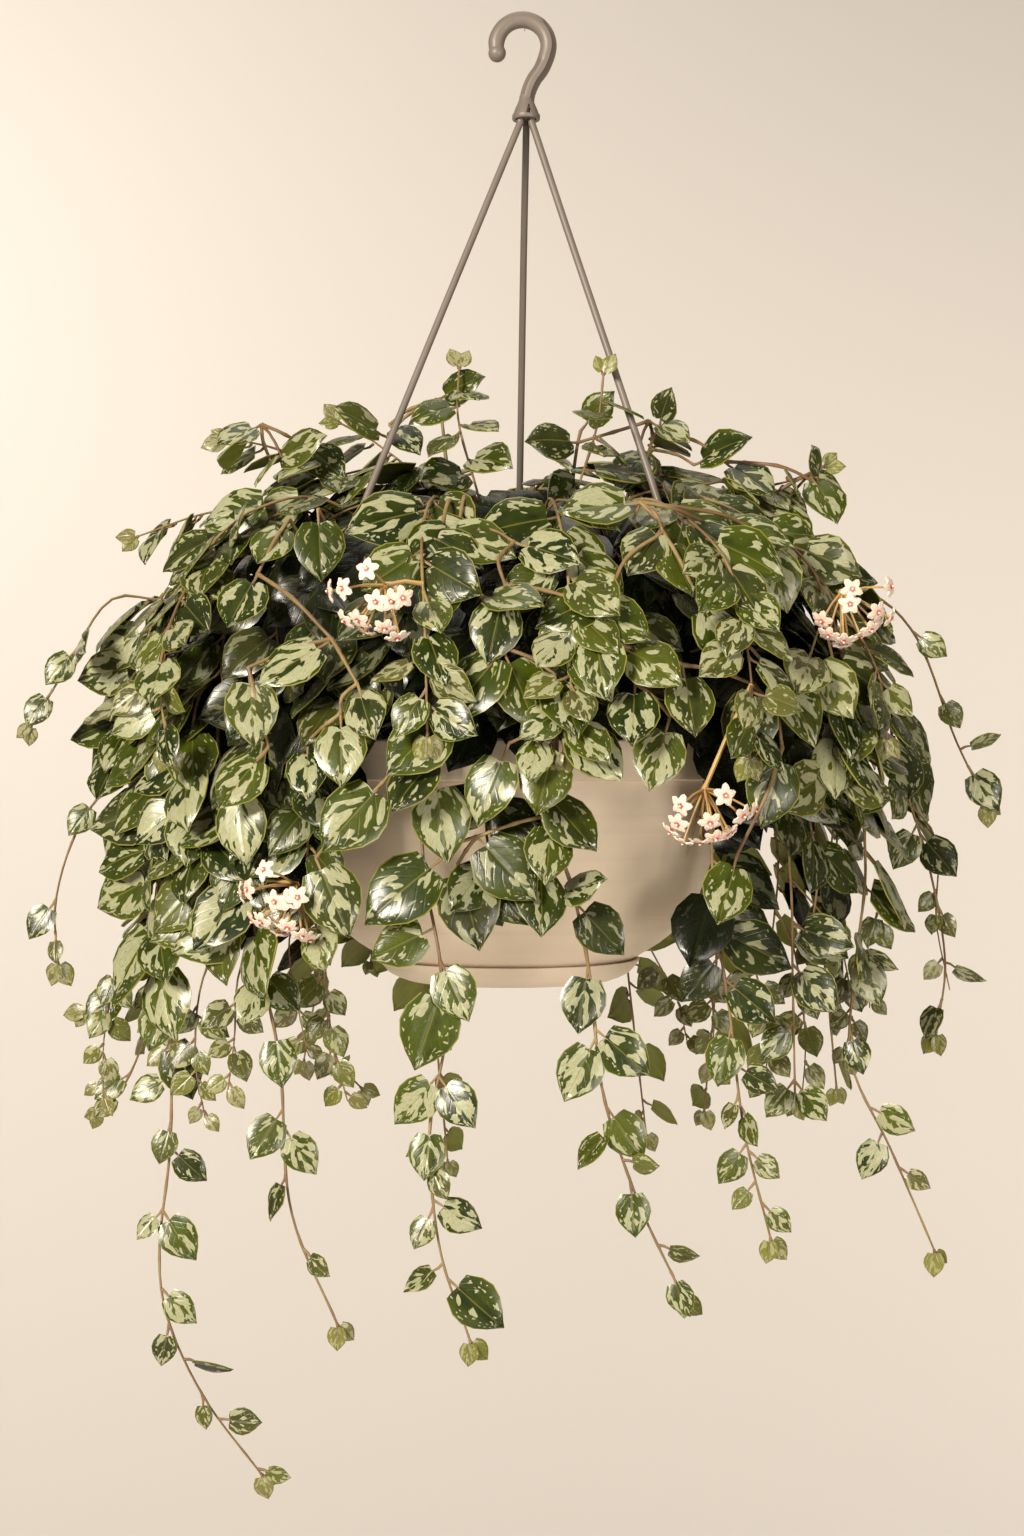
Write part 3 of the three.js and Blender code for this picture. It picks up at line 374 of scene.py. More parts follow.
def placement(point, side, seed, attempt):
    """Where a leaf points and faces: tip down the mound's side and outward, face to the light."""
    outward = unit(np.array([point[0], point[1], CROWN_DROOP * max(0.0, point[2])]))
    outward = unit(outward + LIGHTWARD)
    down = unit(outward * outward[2] - UP)
    sideways = np.cross(outward, down)
    swing = math.radians(LEAF_SWING + LEAF_SWING_SPREAD * draw(seed, 1, attempt) + LEAF_SWING_RETRY * attempt)
    stand_off = LEAF_STAND_OFF + LEAF_STAND_OFF_SPREAD * draw(seed, 2, attempt)
    along = unit(down * math.cos(swing) + sideways * side * math.sin(swing) + outward * stand_off)
    face = (outward + sideways * LEAF_ROLL * (draw(seed, 3, attempt) - 0.5)
            + down * LEAF_PITCH * (draw(seed, 4, attempt) - 0.5))
    face = unit(face - along * face.dot(along))
    return along, face


def turned_about(v, axis, degrees_round):
    """A direction at right angles to an axis, turned about it."""
    a = math.radians(degrees_round)
    return v * math.cos(a) + np.cross(axis, v) * math.sin(a)


def hanging_placement(swing, turn, attempt):
    """A listed leaf of a hanging strand: its tip swings to the side, and it stands off to the front."""
    tip = math.radians(swing)
    along = unit(np.array([math.sin(tip), -(HANGING_STAND_OFF + HANGING_RETRY * attempt), -math.cos(tip)]))
    front = np.array([0.0, -1.0, 0.0])
    return along, turned_about(unit(front - along * front.dot(along)), along, turn)


def leaf_length(place, seed):
    """Leaves are smaller from the middle of the stem to its tip."""
    young = max(0.0, (place - 0.5) / 0.5)
    return LEAF_LENGTH * (1 + LEAF_SIZE_SPREAD * (draw(seed, 5, 0) - 0.5)) * (1 - 0.5 * young ** 1.4)


def solid_leaves(vine):
    """The leaves that the vine's solid really carries, found by the tips of their plates."""
    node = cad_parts[f"vine_{vine.name}"]
    corners = points_of(node) / MM - AXIS
    found = []

    def is_there(leaf):
        """Whether the solid has the corner that the plate of such a leaf ends in."""
        tip = leaf.spot + leaf.along * (leaf.length + PETIOLE) + leaf.face * (0.4 - 0.1 * leaf.length)
        return np.min(np.sum((corners - tip) ** 2, axis=1)) < 0.2 ** 2

    for height, swing, length, turn in vine.hanging:
        for attempt in range(ATTEMPTS):
            leaf = Leaf(vine.mark(height), *hanging_placement(swing, turn, attempt), length)
            if is_there(leaf):
                found.append((None, 0, leaf))
                break
    for segment in range(BARE_SEGMENTS, len(vine.joints) - 1):
        if vine.joints[segment][2] <= vine.lowest:
            continue
        for side in (1, -1):
            seed = 100 * vine.number + 2 * segment + (1 if side > 0 else 0)
            length = leaf_length(segment / (len(vine.joints) - 1), seed)
            spot = vine.segment_point(segment, 0.5 + 0.1 * side)
            for attempt in range(ATTEMPTS):
                leaf = Leaf(spot, *placement(spot, side, seed, attempt), length)
                if is_there(leaf):
                    found.append((segment, side, leaf))
                    break
    return found


# The mound that the added leaves keep to

# Its skin from the crown down to the curtain's end: [distance from the axis, height over the rim]
ENVELOPE = [(0, 126), (48, 124), (88, 116), (120, 99), (143, 80), (160, 56), (167, 20), (166, -30),
            (160, -72), (152, -118)]
ENVELOPE_RADII, ENVELOPE_HEIGHTS = (np.array(line, float) for line in zip(*ENVELOPE))
ENVELOPE_SPANS = [math.dist(a, b) for a, b in zip(ENVELOPE[:-1], ENVELOPE[1:])]
ENVELOPE_STEPS = np.concatenate([[0.0], np.cumsum(ENVELOPE_SPANS)])
WIDEST = int(np.argmax(ENVELOPE_RADII))
FRONT_DEPTH = 0.9
# How far below the rim the curtain hangs round the pot: [bearing, height]. The bowl shows at the front.
CURTAIN_ENDS = [(0, -108), (40, -112), (90, -104), (140, -112), (200, -112), (218, -100), (228, -62),
                (238, 0), (262, 6), (274, 12), (284, 18), (304, 20), (310, -20), (318, -90), (330, -106),
                (360, -108)]
# The part of the bowl that the photo shows bare, in the picture's plane. Its right side slants in below.
BARE_BOWL_LEFT, BARE_BOWL_RIGHT = -72, 96
BARE_BOWL_FOOT, BARE_BOWL_TOP = -100, 20
BARE_BOWL_SLANT_FROM, BARE_BOWL_SLANT = -50, 0.6
ARM_ROOM = 2.5
# Low on the right the curtain is looser, and the photo shows the light through it
THIN_BELOW, THIN_RIGHT_OF, THIN_SHARE = -12, 60, 0.45
# The poses of the added leaves: swing of the tip in degrees, stand-off, roll and pitch of the face
FREE_SWING = (12, 66)
FREE_STAND_OFF = (0.02, 0.6)
FREE_ROLL = (-0.8, 0.8)
FREE_PITCH = (-0.6, 0.45)
FREE_DROOP = 0.42
# The bowl's outside: [height, distance from the axis]
BOWL_WALL = [(-108, 58), (-95.6, 60), (-86, 72.4), (-71.2, 83.9), (-44, 93.4), (-17, 101.6), (0, 102)]


def envelope(bearing, travel, depth=1.0):
    """A point of the mound's skin: how far down from the crown, and how deep inside it."""
    travel = min(travel, ENVELOPE_STEPS[-1] - 0.01)
    radius = float(np.interp(travel, ENVELOPE_STEPS, ENVELOPE_RADII))
    height = float(np.interp(travel, ENVELOPE_STEPS, ENVELOPE_HEIGHTS))
    lift = height * depth if height > 0 else height
    x = radius * depth * math.cos(bearing)
    y = FRONT_DEPTH * radius * depth * math.sin(bearing)
    return np.array([x, y, lift])


def side_radius(height):
    """The distance of the mound's skin from the axis at a height."""
    return float(np.interp(-height, -ENVELOPE_HEIGHTS, ENVELOPE_RADII))


def seen(across, up, depth):
    """The point at a depth behind the pot's axis that the camera sees at a place of the plane through it."""
    near = 1 + depth / -EYE[1]
    return np.array([EYE[0] + across * near, depth, EYE[2] + up * near])


def skin_depth(across, up):
    """How far in front of the axis the mound's skin lies at a place that the camera sees."""
    depth = -120.0
    for _ in range(5):
        x, _, z = seen(across, up, depth)
        depth = -FRONT_DEPTH * math.sqrt(max(side_radius(z) ** 2 - x ** 2, 400.0))
        # Below the rim the leaves hang closer to the bowl
        depth = max(depth, -150.0 + 18.0 * min(1.0, max(0.0, -z / 40.0)))
    return depth


def lowest(bearing):
    """How far below the rim the curtain hangs at a bearing."""
    return float(np.interp(math.degrees(bearing) % 360, *zip(*CURTAIN_ENDS)))


def picture_place(point):
    """Where the camera sees a point, on the upright plane through the pot's axis."""
    near = 1 + point[1] / -EYE[1]
    return (point[0] - EYE[0]) / near, (point[2] - EYE[2]) / near


def hides_bowl(leaf):
    """Whether a leaf hangs before the part of the bowl that the photo shows."""
    if leaf.centre[1] > 0:
        return False
    across, up = picture_place(leaf.centre)
    right = BARE_BOWL_RIGHT - BARE_BOWL_SLANT * max(0.0, BARE_BOWL_SLANT_FROM - up)
    return BARE_BOWL_FOOT < up < BARE_BOWL_TOP and BARE_BOWL_LEFT < across < right


def hides_arm(leaf, outline, line, clear_above):
    """Whether a leaf comes before an arm where the photo shows the arm."""
    up = picture_place(leaf.centre)[1]
    if up < clear_above:
        return False
    seats = sorted((picture_place(p)[1], picture_place(p)[0], p[1]) for p in line)
    heights = [seat[0] for seat in seats]
    if leaf.centre[1] > np.interp(up, heights, [seat[2] for seat in seats]):
        return False
    beside = []
    for point in outline:
        across, at = picture_place(point)
        beside.append(across - np.interp(at, heights, [seat[1] for seat in seats]))
    return min(beside) < ARM_ROOM and max(beside) > -ARM_ROOM


def pot_radius(height):
    """The bowl's outside radius at a height below the rim."""
    return float(np.interp(height, *zip(*BOWL_WALL))) if -110 < height < 4 else 0.0


def arm_line(azimuth):
    """The middle line of an arm, from its peg in the collar out to its clip on the rim."""
    turn = math.radians(azimuth)
    collar = COLLAR_X - AXIS[0]
    line = [np.array([collar + SOCKET_RING * math.cos(turn), SOCKET_RING * math.sin(turn), ARM_TOP])]
    for radius, height in [*ARM_BOW, (CLIP_SEAT, CLIP_SEAT_HEIGHT)]:
        shift = collar * (1 - radius / CLIP_SEAT)
        line.append(np.array([radius * math.cos(turn) + shift, radius * math.sin(turn), height]))
    return line


class Foliage:
    """All leaves placed so far, so that a new one can be kept off them and off the hanger and flowers."""

    CELL = 30.0
    POT_ROOM = 2.5
    BLOOM_ROOM = 19.0

    def __init__(self):
        self.cells = {}
        self.arms = [arm_line(a) for a in ARM_AZIMUTHS.values()]
        self.blooms = []

    def cell(self, point):
        return tuple(int(math.floor(c / self.CELL)) for c in point)

    def add(self, leaf):
        record = (leaf, leaf.centre, np.array(leaf.outline()))
        self.cells.setdefault(self.cell(leaf.centre), []).append(record)

    def near(self, point):
        x, y, z = self.cell(point)
        for i in (x - 1, x, x + 1):
            for j in (y - 1, y, y + 1):
                for k in (z - 1, z, z + 1):
                    yield from self.cells.get((i, j, k), ())

    def crosses(self, leaf, outline, other, other_outline):
        here = (other_outline - leaf.base) @ leaf.face
        if here.min() > -0.3 or here.max() < 0.3:
            return False
        there = (outline - other.base) @ other.face
        return not (there.min() > -0.3 or there.max() < 0.3)

    def fits(self, leaf):
        """Whether a leaf keeps clear of the pot, the arms, the flowers and the other leaves."""
        outline = np.array(leaf.outline())
        hides = any(hides_arm(leaf, outline, line, above) for line, above in zip(self.arms, CLEAR_ABOVE))
        return not (hides or self.near_pot(leaf, outline) or self.before_bloom(leaf) or self.cuts_arm(leaf)
                    or self.crosses_leaf(leaf, outline))

    def near_pot(self, leaf, outline):
        return any(math.hypot(x, y) < pot_radius(z) + self.POT_ROOM for x, y, z in [*outline, leaf.centre])

    def before_bloom(self, leaf):
        for middle, outward, reach in self.blooms:
            along = max(-8.0, min(reach, float((leaf.centre - middle) @ outward)))
            if np.linalg.norm(leaf.centre - middle - outward * along) < self.BLOOM_ROOM + 0.25 * leaf.length:
                return True
        return False

    def cuts_arm(self, leaf):
        for line in self.arms:
            for a, b in zip(line[:-1], line[1:]):
                ahead, behind = (b - leaf.base) @ leaf.face, (a - leaf.base) @ leaf.face
                if (ahead > 0) == (behind > 0):
                    continue
                hit = a + (b - a) * (behind / (behind - ahead))
                if np.linalg.norm(hit - leaf.centre) < 0.56 * leaf.length:
                    return True
        return False

    def crosses_leaf(self, leaf, outline):
        for other, other_centre, other_outline in self.near(leaf.centre):
            if np.linalg.norm(other_centre - leaf.centre) > 0.55 * (leaf.length + other.length):
                continue
            if self.crosses(leaf, outline, other, other_outline):
                return True
        return False


def inside(point):
    """How deep under the mound's skin a point lies, from 0 to 1, which sets the painted shade of a leaf
    there. The hanging ends count as outside.
    """
    radius = math.hypot(point[0], point[1] / FRONT_DEPTH)
    top = float(np.interp(radius, ENVELOPE_RADII[:WIDEST + 1], ENVELOPE_HEIGHTS[:WIDEST + 1]))
    depth = min(1.0, max(0.0, (min(side_radius(point[2]) - radius, top - point[2]) - 3.0) / 22.0))
    return depth * min(1.0, max(0.0, (point[2] + 115.0) / 25.0))


def give_looks(leaf, dice, youth=0.0):
    """Each leaf's own tone and blotches, and its painted shade: leaves deep in the mound are painted darker
    and less marked.
    """
    # Painted shade: the deeper a leaf lies in the mound, the lower its green tone and the fewer its silver
    # blotches.
    leaf.painted_shade = inside(leaf.centre)
    leaf.seed = dice.random() * (1 - 0.7 * leaf.painted_shade)
    leaf.silver = min(1.0, max(0.0, dice.gauss(0.47 - 0.2 * leaf.painted_shade, 0.22)))
    leaf.youth = min(1.0, max(0.0, youth + dice.uniform(-0.12, 0.12)))


def free_placement(point, side, dice):
    """A looser pose than the solids': more droop on the curtain, more spread on the crown."""
    rise = FREE_DROOP * max(0.0, point[2] + 10) + 1e-6
    outward = unit(np.array([point[0], point[1] * 1.1, rise]))
    outward = unit(outward + LIGHTWARD * 1.3)
    down = unit(outward * outward[2] - UP)
    sideways = np.cross(outward, down)
    swing = math.radians(dice.uniform(*FREE_SWING))
    along = unit(down * math.cos(swing) + sideways * side * math.sin(swing)
                 + outward * dice.uniform(*FREE_STAND_OFF))
    face = outward + sideways * dice.uniform(*FREE_ROLL) + down * dice.uniform(*FREE_PITCH)
    face = unit(face - along * face.dot(along))
    return along, face


def is_thin(point, dice):
    """Whether a leaf is left out because the curtain is loose there."""
    return point[2] < THIN_BELOW and point[0] > THIN_RIGHT_OF and dice.random() < THIN_SHARE


def try_leaf(foliage, point, side, length, dice, tries=6, youth=0.0):
    for _ in range(tries):
        along, face = free_placement(point, side, dice)
        leaf = Leaf(point, along, face, length * dice.uniform(0.86, 1.1), dice.uniform(4.0, 8.0))
        if foliage.fits(leaf) and not hides_bowl(leaf):
            give_looks(leaf, dice, youth)
            foliage.add(leaf)
            return leaf
    return None


# Meshes

def clear_selection():
    if bpy.context.object and bpy.context.object.mode != "OBJECT":
        bpy.ops.object.mode_set(mode="OBJECT")
    bpy.ops.object.select_all(action="DESELECT")


def take(*objects):
    clear_selection()
    for o in objects:
        o.select_set(True)
    bpy.context.view_layer.objects.active = objects[0]


def remove(*objects):
    take(*objects)
    bpy.ops.object.delete()


def join(*objects):
    """Makes several objects one, which keeps the name of the first."""
    take(*objects)
    bpy.ops.object.join()
    return bpy.context.object


def points_of(o):
    """The places of a mesh's points, one in a row."""
    places = np.empty(len(o.data.vertices) * 3)
    o.data.vertices.foreach_get("co", places)
    return places.reshape(-1, 3)


def copy_at(model, name, places):
    """A copy of a model with a mesh of its own, whose points lie at the given places."""
    mesh = model.data.copy()
    mesh.vertices.foreach_set("co", places.ravel())
    o = bpy.data.objects.new(name, mesh)
    bpy.context.collection.objects.link(o)
    return o


def named(name):
    o = bpy.context.object
    o.name = name
    o.data.name = name
    return o


def choose(test):
    """Selects the points of the active mesh, in edit mode, whose place passes the test."""
    o = bpy.context.object
    bpy.ops.mesh.select_mode(type="VERT")
    bpy.ops.mesh.select_all(action="DESELECT")
    bpy.ops.object.mode_set(mode="OBJECT")
    count = 0
    for v in o.data.vertices:
        v.select = bool(test(v.co))
        count += v.select
    bpy.ops.object.mode_set(mode="EDIT")
    if count == 0:
        raise RuntimeError("no point of the mesh passes the test")


def choose_faces(test):
    """Selects the faces of the active mesh, in edit mode, that pass the test."""
    bpy.ops.mesh.select_mode(type="FACE")
    bpy.ops.mesh.select_all(action="DESELECT")
    bpy.ops.object.mode_set(mode="OBJECT")
    for face in bpy.context.object.data.polygons:
        face.select = bool(test(face))
    bpy.ops.object.mode_set(mode="EDIT")


def settle(o, *materials):
    """Puts the object's place into its mesh and gives it its materials."""
    take(o)
    bpy.ops.object.transform_apply(location=True, rotation=True, scale=True)
    o.data.materials.clear()
    for m in materials:
        o.data.materials.append(m)
    return o


def outward_faces(o):
    take(o)
    bpy.ops.object.mode_set(mode="EDIT")
    bpy.ops.mesh.select_all(action="SELECT")
    bpy.ops.mesh.remove_doubles(threshold=1e-6)
    bpy.ops.mesh.normals_make_consistent(inside=False)
    bpy.ops.object.mode_set(mode="OBJECT")


def smooth(o, degrees_sharp=40):
    take(o)
    bpy.ops.object.shade_smooth_by_angle(angle=math.radians(degrees_sharp))


def apply_modifier(o, kind, **settings):
    take(o)
    m = o.modifiers.new(kind.title(), kind)
    for key, value in settings.items():
        setattr(m, key, value)
    bpy.ops.object.modifier_apply(modifier=m.name)


def combine(body, part, operation):
    apply_modifier(body, "BOOLEAN", object=part, operation=operation, solver="EXACT")


def drill(body, radius, depth, place):
    """Cuts an upright round hole, given in millimetres from the frame's origin."""
    clear_selection()
    bpy.ops.mesh.primitive_cylinder_add(
        vertices=20, radius=radius * MM, depth=depth * MM, location=[c * MM for c in place])
    cutter = named("cutter")
    combine(body, cutter, "DIFFERENCE")
    remove(cutter)


def wires(name, runs, sides=1):
    """Tubes along many runs of (point in metres, radius in metres), as one closed-ended mesh."""
    clear_selection()
    bpy.ops.curve.primitive_bezier_curve_add()
    o = named(name)
    curve = o.data
    curve.splines.clear()
    curve.dimensions = "3D"
    curve.bevel_depth = 1.0
    curve.bevel_resolution = sides
    curve.use_fill_caps = True
    for run in runs:
        spline = curve.splines.new("POLY")
        spline.points.add(len(run) - 1)
        for p, (place, radius) in zip(spline.points, run):
            p.co = (*place, 1.0)
            p.radius = radius
    take(o)
    bpy.ops.object.convert(target="MESH")
    o = bpy.context.object
    bpy.ops.object.transform_apply(location=True, rotation=True, scale=True)
    outward_faces(o)
    return o


def turned(name, profile, steps, centre):
    """Spins a profile of (radius, height) in metres round an upright axis. Ends on the axis close up."""
    clear_selection()
    centre = Vector(centre)
    bpy.ops.mesh.primitive_plane_add(size=1, location=(0, 0, 0))
    o = named(name)
    bpy.ops.object.mode_set(mode="EDIT")
    bpy.ops.mesh.select_mode(type="VERT")
    bpy.ops.mesh.select_all(action="SELECT")
    bpy.ops.mesh.merge(type="CENTER")
    bpy.ops.transform.translate(value=centre + Vector((profile[0][0], 0, profile[0][1])))
    for (r0, z0), (r1, z1) in zip(profile[:-1], profile[1:]):
        bpy.ops.mesh.extrude_vertices_move(TRANSFORM_OT_translate={"value": (r1 - r0, 0, z1 - z0)})
    bpy.ops.mesh.select_all(action="SELECT")
    bpy.ops.mesh.spin(steps=steps, angle=2 * math.pi, center=centre, axis=(0, 0, 1))
    bpy.ops.mesh.select_all(action="SELECT")
    bpy.ops.mesh.remove_doubles(threshold=2e-6)
    bpy.ops.mesh.normals_make_consistent(inside=False)
    bpy.ops.object.mode_set(mode="OBJECT")
    if not o.data.polygons:
        raise RuntimeError(f"{name} has no faces")
    return o


# Materials

class Value:
    """A socket of a node tree. Arithmetic on it adds Math nodes."""

    def __init__(self, paint, socket):
        self.paint, self.socket = paint, socket

    def _math(self, operation, *values, **settings):
        node = self.paint.nodes.new("ShaderNodeMath")
        node.operation = operation
        for name, value in settings.items():
            setattr(node, name, value)
        for slot, value in zip(node.inputs, values):
            self.paint.feed(slot, value)
        return Value(self.paint, node.outputs[0])

    def __add__(self, other):
        return self._math("ADD", self, other)

    __radd__ = __add__

    def __sub__(self, other):
        return self._math("SUBTRACT", self, other)

    def __rsub__(self, other):
        return self._math("SUBTRACT", other, self)

    def __mul__(self, other):
        return self._math("MULTIPLY", self, other)

    def __abs__(self):
        return self._math("ABSOLUTE", self)

    def clamped(self):
        return self._math("ADD", self, 0.0, use_clamp=True)

    def stretched(self, low, gain):
        """What lies over low, multiplied and kept between 0 and 1."""
        return ((self - low) * gain).clamped()

    def fraction(self):
        return self._math("FRACT", self)

    def larger(self, other):
        return self._math("MAXIMUM", self, other)

    def edge(self, low, high):
        """0 below low, 1 above high, and a soft step between them."""
        return self.paint.node("ShaderNodeMapRange", {"interpolation_type": "SMOOTHSTEP"},
                               {"Value": self, "From Min": low, "From Max": high})


class Paint:
    """A material under construction."""

    def __init__(self, name):
        self.material = bpy.data.materials.new(name)
        self.material.use_nodes = True
        self.nodes = self.material.node_tree.nodes
        self.links = self.material.node_tree.links
        self.nodes.clear()
        self.output = self.nodes.new("ShaderNodeOutputMaterial")
        self.shader = self.nodes.new("ShaderNodeBsdfPrincipled")
        self.links.new(self.shader.outputs[0], self.output.inputs["Surface"])

    def feed(self, slot, value):
        if isinstance(value, Value):
            self.links.new(value.socket, slot)
        else:
            slot.default_value = value

    def node(self, kind, settings=None, values=None, out=0):
        node = self.nodes.new(kind)
        for name, value in (settings or {}).items():
            setattr(node, name, value)
        for name, value in (values or {}).items():
            self.feed(node.inputs[name], value)
        return Value(self, node.outputs[out])

    def noise(self, vector, scale, detail=2.0, roughness=0.5, distortion=0.0):
        return self.node("ShaderNodeTexNoise", {}, {
            "Vector": vector, "Scale": scale, "Detail": detail, "Roughness": roughness,
            "Distortion": distortion})

    def place(self):
        return self.node("ShaderNodeTexCoord", out="Object")

    def vector(self, x, y, z):
        return self.node("ShaderNodeCombineXYZ", {}, {"X": x, "Y": y, "Z": z})

    def parts(self, vector):
        node = self.nodes.new("ShaderNodeSeparateXYZ")
        self.feed(node.inputs[0], vector)
        return [Value(self, s) for s in node.outputs]

    def mix(self, share, first, second):
        node = self.nodes.new("ShaderNodeMix")
        node.data_type = "RGBA"
        self.feed(node.inputs["Factor"], share)
        for slot, value in (("A", first), ("B", second)):
            colour_slot = [s for s in node.inputs if s.name == slot and s.type == "RGBA"][0]
            self.feed(colour_slot, value if isinstance(value, Value) else (*value[:3], 1.0))
        return Value(self, [s for s in node.outputs if s.type == "RGBA"][0])

    def finish(self, colour=None, roughness=None, bump=None, bump_strength=0.3, bump_distance=0.0005,
               **fixed):
        """Feeds the shader and gives the material. Fixed values go to the sockets that they name."""
        if colour is not None:
            self.feed(self.shader.inputs["Base Color"],
                      colour if isinstance(colour, Value) else (*colour[:3], 1.0))
        if roughness is not None:
            self.feed(self.shader.inputs["Roughness"], roughness)
        if bump is not None:
            node = self.nodes.new("ShaderNodeBump")
            node.inputs["Strength"].default_value = bump_strength
            node.inputs["Distance"].default_value = bump_distance
            self.feed(node.inputs["Height"], bump)
            self.links.new(node.outputs[0], self.shader.inputs["Normal"])
        for name, value in fixed.items():
            self.shader.inputs[name.replace("_", " ")].default_value = value
        return self.material


def shade(colour, factor):
    return tuple(c * factor for c in colour[:3])


def length_of(name, description, default):
    return bpy.props.FloatProperty(
        name=name, description=description, default=default, unit="LENGTH", subtype="DISTANCE")


def count_of(name, description, default, least=0):
    return bpy.props.IntProperty(name=name, description=description, default=default, min=least)


def colour_of(name, description, default):
    return bpy.props.FloatVectorProperty(
        name=name, description=description, subtype="COLOR", size=3, default=default)


class BasketSizes(bpy.types.PropertyGroup):
    leaf_thickness: length_of("Leaf thickness", "Thickness of a mature blade", 0.0005)
    stem_radius: length_of("Stem radius", "Radius of a vine's stem where it leaves the mound", 0.0009)
    stalk_radius: length_of("Leaf stalk radius", "Radius of the stalk between stem and blade", 0.0006)
    crown_sprays: count_of("Crown sprays", "Short leafy shoots over the mound", 100)
    curtain_sprays: count_of("Curtain sprays", "Short leafy shoots that hang below the rim", 80)
    spin_steps: count_of("Spin steps", "Faces round the bowl", 96, 24)


class BasketColours(bpy.types.PropertyGroup):
    plastic: colour_of("Bowl plastic", "Moulded bowl and saucer", (0.85, 0.715, 0.565))
    hanger: colour_of("Hanger plastic", "Hook and arms", (0.18, 0.148, 0.127))
    # Deep green is partly the leaves' own darker tone and partly painted shade: leaves deep in the mound get
    # more of it, and a darkened copy of it.
    leaf_dark: colour_of("Deep green", "Older leaves between the blotches", (0.009, 0.017, 0.002))
    leaf_bright: colour_of("Fresh green", "Younger leaves between the blotches", (0.052, 0.070, 0.003))
    silver: colour_of("Silver", "Blotches on the leaf's face", (0.35, 0.355, 0.212))
    margin: colour_of("Leaf edge", "Thin pale edge of each leaf", (0.26, 0.25, 0.05))
    underside: colour_of("Underside", "Back of the leaves", (0.20, 0.22, 0.035))
    young: colour_of("Young leaf", "Leaves near the tips", (0.20, 0.17, 0.06))
    stem: colour_of("Stem", "Tan stems and stalks", (0.225, 0.125, 0.055))
    petal: colour_of("Petal", "Velvety star petals", (0.80, 0.69, 0.60))
    crown: colour_of("Flower crown", "Red crown in the middle of a flower", (0.42, 0.035, 0.03))
    wall: colour_of("Backdrop", "Floor and wall of the studio", (0.68, 0.642, 0.61))


def sizes():
    return bpy.context.scene.basket_sizes


def colours():
    return bpy.context.scene.basket_colours


def leaf_signs(paint):
    """The place on the blade, the leaf's own numbers, and how open to the light it hangs, which is 1 less its
    painted shade.
    """
    along, across, _ = paint.parts(paint.node("ShaderNodeUVMap", {"uv_map": "leaf"}))
    offset = (across - 0.5) * 2.0
    traits = {"attribute_name": "leaf_traits"}
    seed, silver, youth = paint.parts(paint.node("ShaderNodeAttribute", traits, out=1))
    open_light = paint.node("ShaderNodeAttribute", traits, out=3)
    return along, offset, abs(offset), seed, silver, youth, open_light


def leaf_face_paint():
    c = colours()
    paint = Paint("leaf_face")
    along, offset, out, seed, silver, youth, open_light = leaf_signs(paint)
    slant = along - out * 0.34
    blotch_place = paint.vector(slant * 5.6, offset * 2.1, seed * 43.0)
    blotch = paint.noise(blotch_place, 1.0, detail=1.3, roughness=0.45, distortion=0.35)
    fleck = paint.noise(paint.vector(slant * 13.0, offset * 6.0, seed * 71.0), 1.0, detail=0.5)
    rim = out.edge(0.7, 1.0)
    rib = 1.0 - out.edge(0.0, 0.16)
    level = blotch + (fleck - 0.5) * 0.12 + (silver - 0.5) * 0.26 - rim * 0.13 - rib * 0.05
    dots = paint.noise(paint.vector(along * 21.0, offset * 9.0, seed * 31.0), 1.0, detail=0.0)
    dots = dots.edge(0.67, 0.70) * out.edge(0.35, 0.6) * (1.0 - out.edge(0.86, 0.92))
    mask = level.edge(0.52, 0.545).larger(dots)
    tone = paint.noise(paint.vector(along * 2.5, offset * 1.6, seed * 19.0), 1.0, detail=2.0)
    green_share = ((tone - 0.5) * 1.6 + seed * 0.85 + out * 0.12).clamped()
    green = paint.mix(green_share, c.leaf_dark, c.leaf_bright)
    haze = paint.noise(paint.vector(slant * 26.0, offset * 11.0, seed * 13.0), 1.0, detail=2.0)
    pale = paint.mix(haze.stretched(0.32, 1.6), shade(c.silver, 0.78), shade(c.silver, 1.16))
    body = paint.mix(mask, green, pale)
    line = (1.0 - out.edge(0.012, 0.045)) * along.edge(0.98, 0.7) * 0.5
    body = paint.mix(line, body, shade(c.margin, 0.72))
    edge_line = out.edge(0.94, 0.985).larger(along.edge(0.965, 0.99)) * (0.6 + tone * 0.5)
    body = paint.mix(edge_line.clamped(), body, c.margin)
    body = paint.mix(along.edge(0.975, 0.998) * 0.8, body, shade(c.stem, 0.8))
    young = paint.mix(seed, c.young, (c.young[0] * 1.05, c.young[1] * 1.2, c.young[2] * 0.7))
    young = paint.mix(mask * 0.35, young, c.silver)
    body = paint.mix((youth * 0.78).clamped(), body, young)
    ribs = ((slant * 8.0 + seed).fraction() - 0.5)
    # Painted shade: a leaf deep in the mound is painted towards a near-black green.
    body = paint.mix(open_light, shade(c.leaf_dark, 0.25), body)
    veins = (1.0 - abs(ribs).edge(0.02, 0.14)) * out.edge(0.05, 0.3) * (1.0 - rim)
    height = veins * -0.25 + mask * 0.22 + rib * -0.8 + tone * 0.7
    return paint.finish(body, 0.2 + haze * 0.18, height, 0.35, 0.0005, Specular_IOR_Level=0.4,
                        Coat_Weight=0.12, Coat_Roughness=0.16)


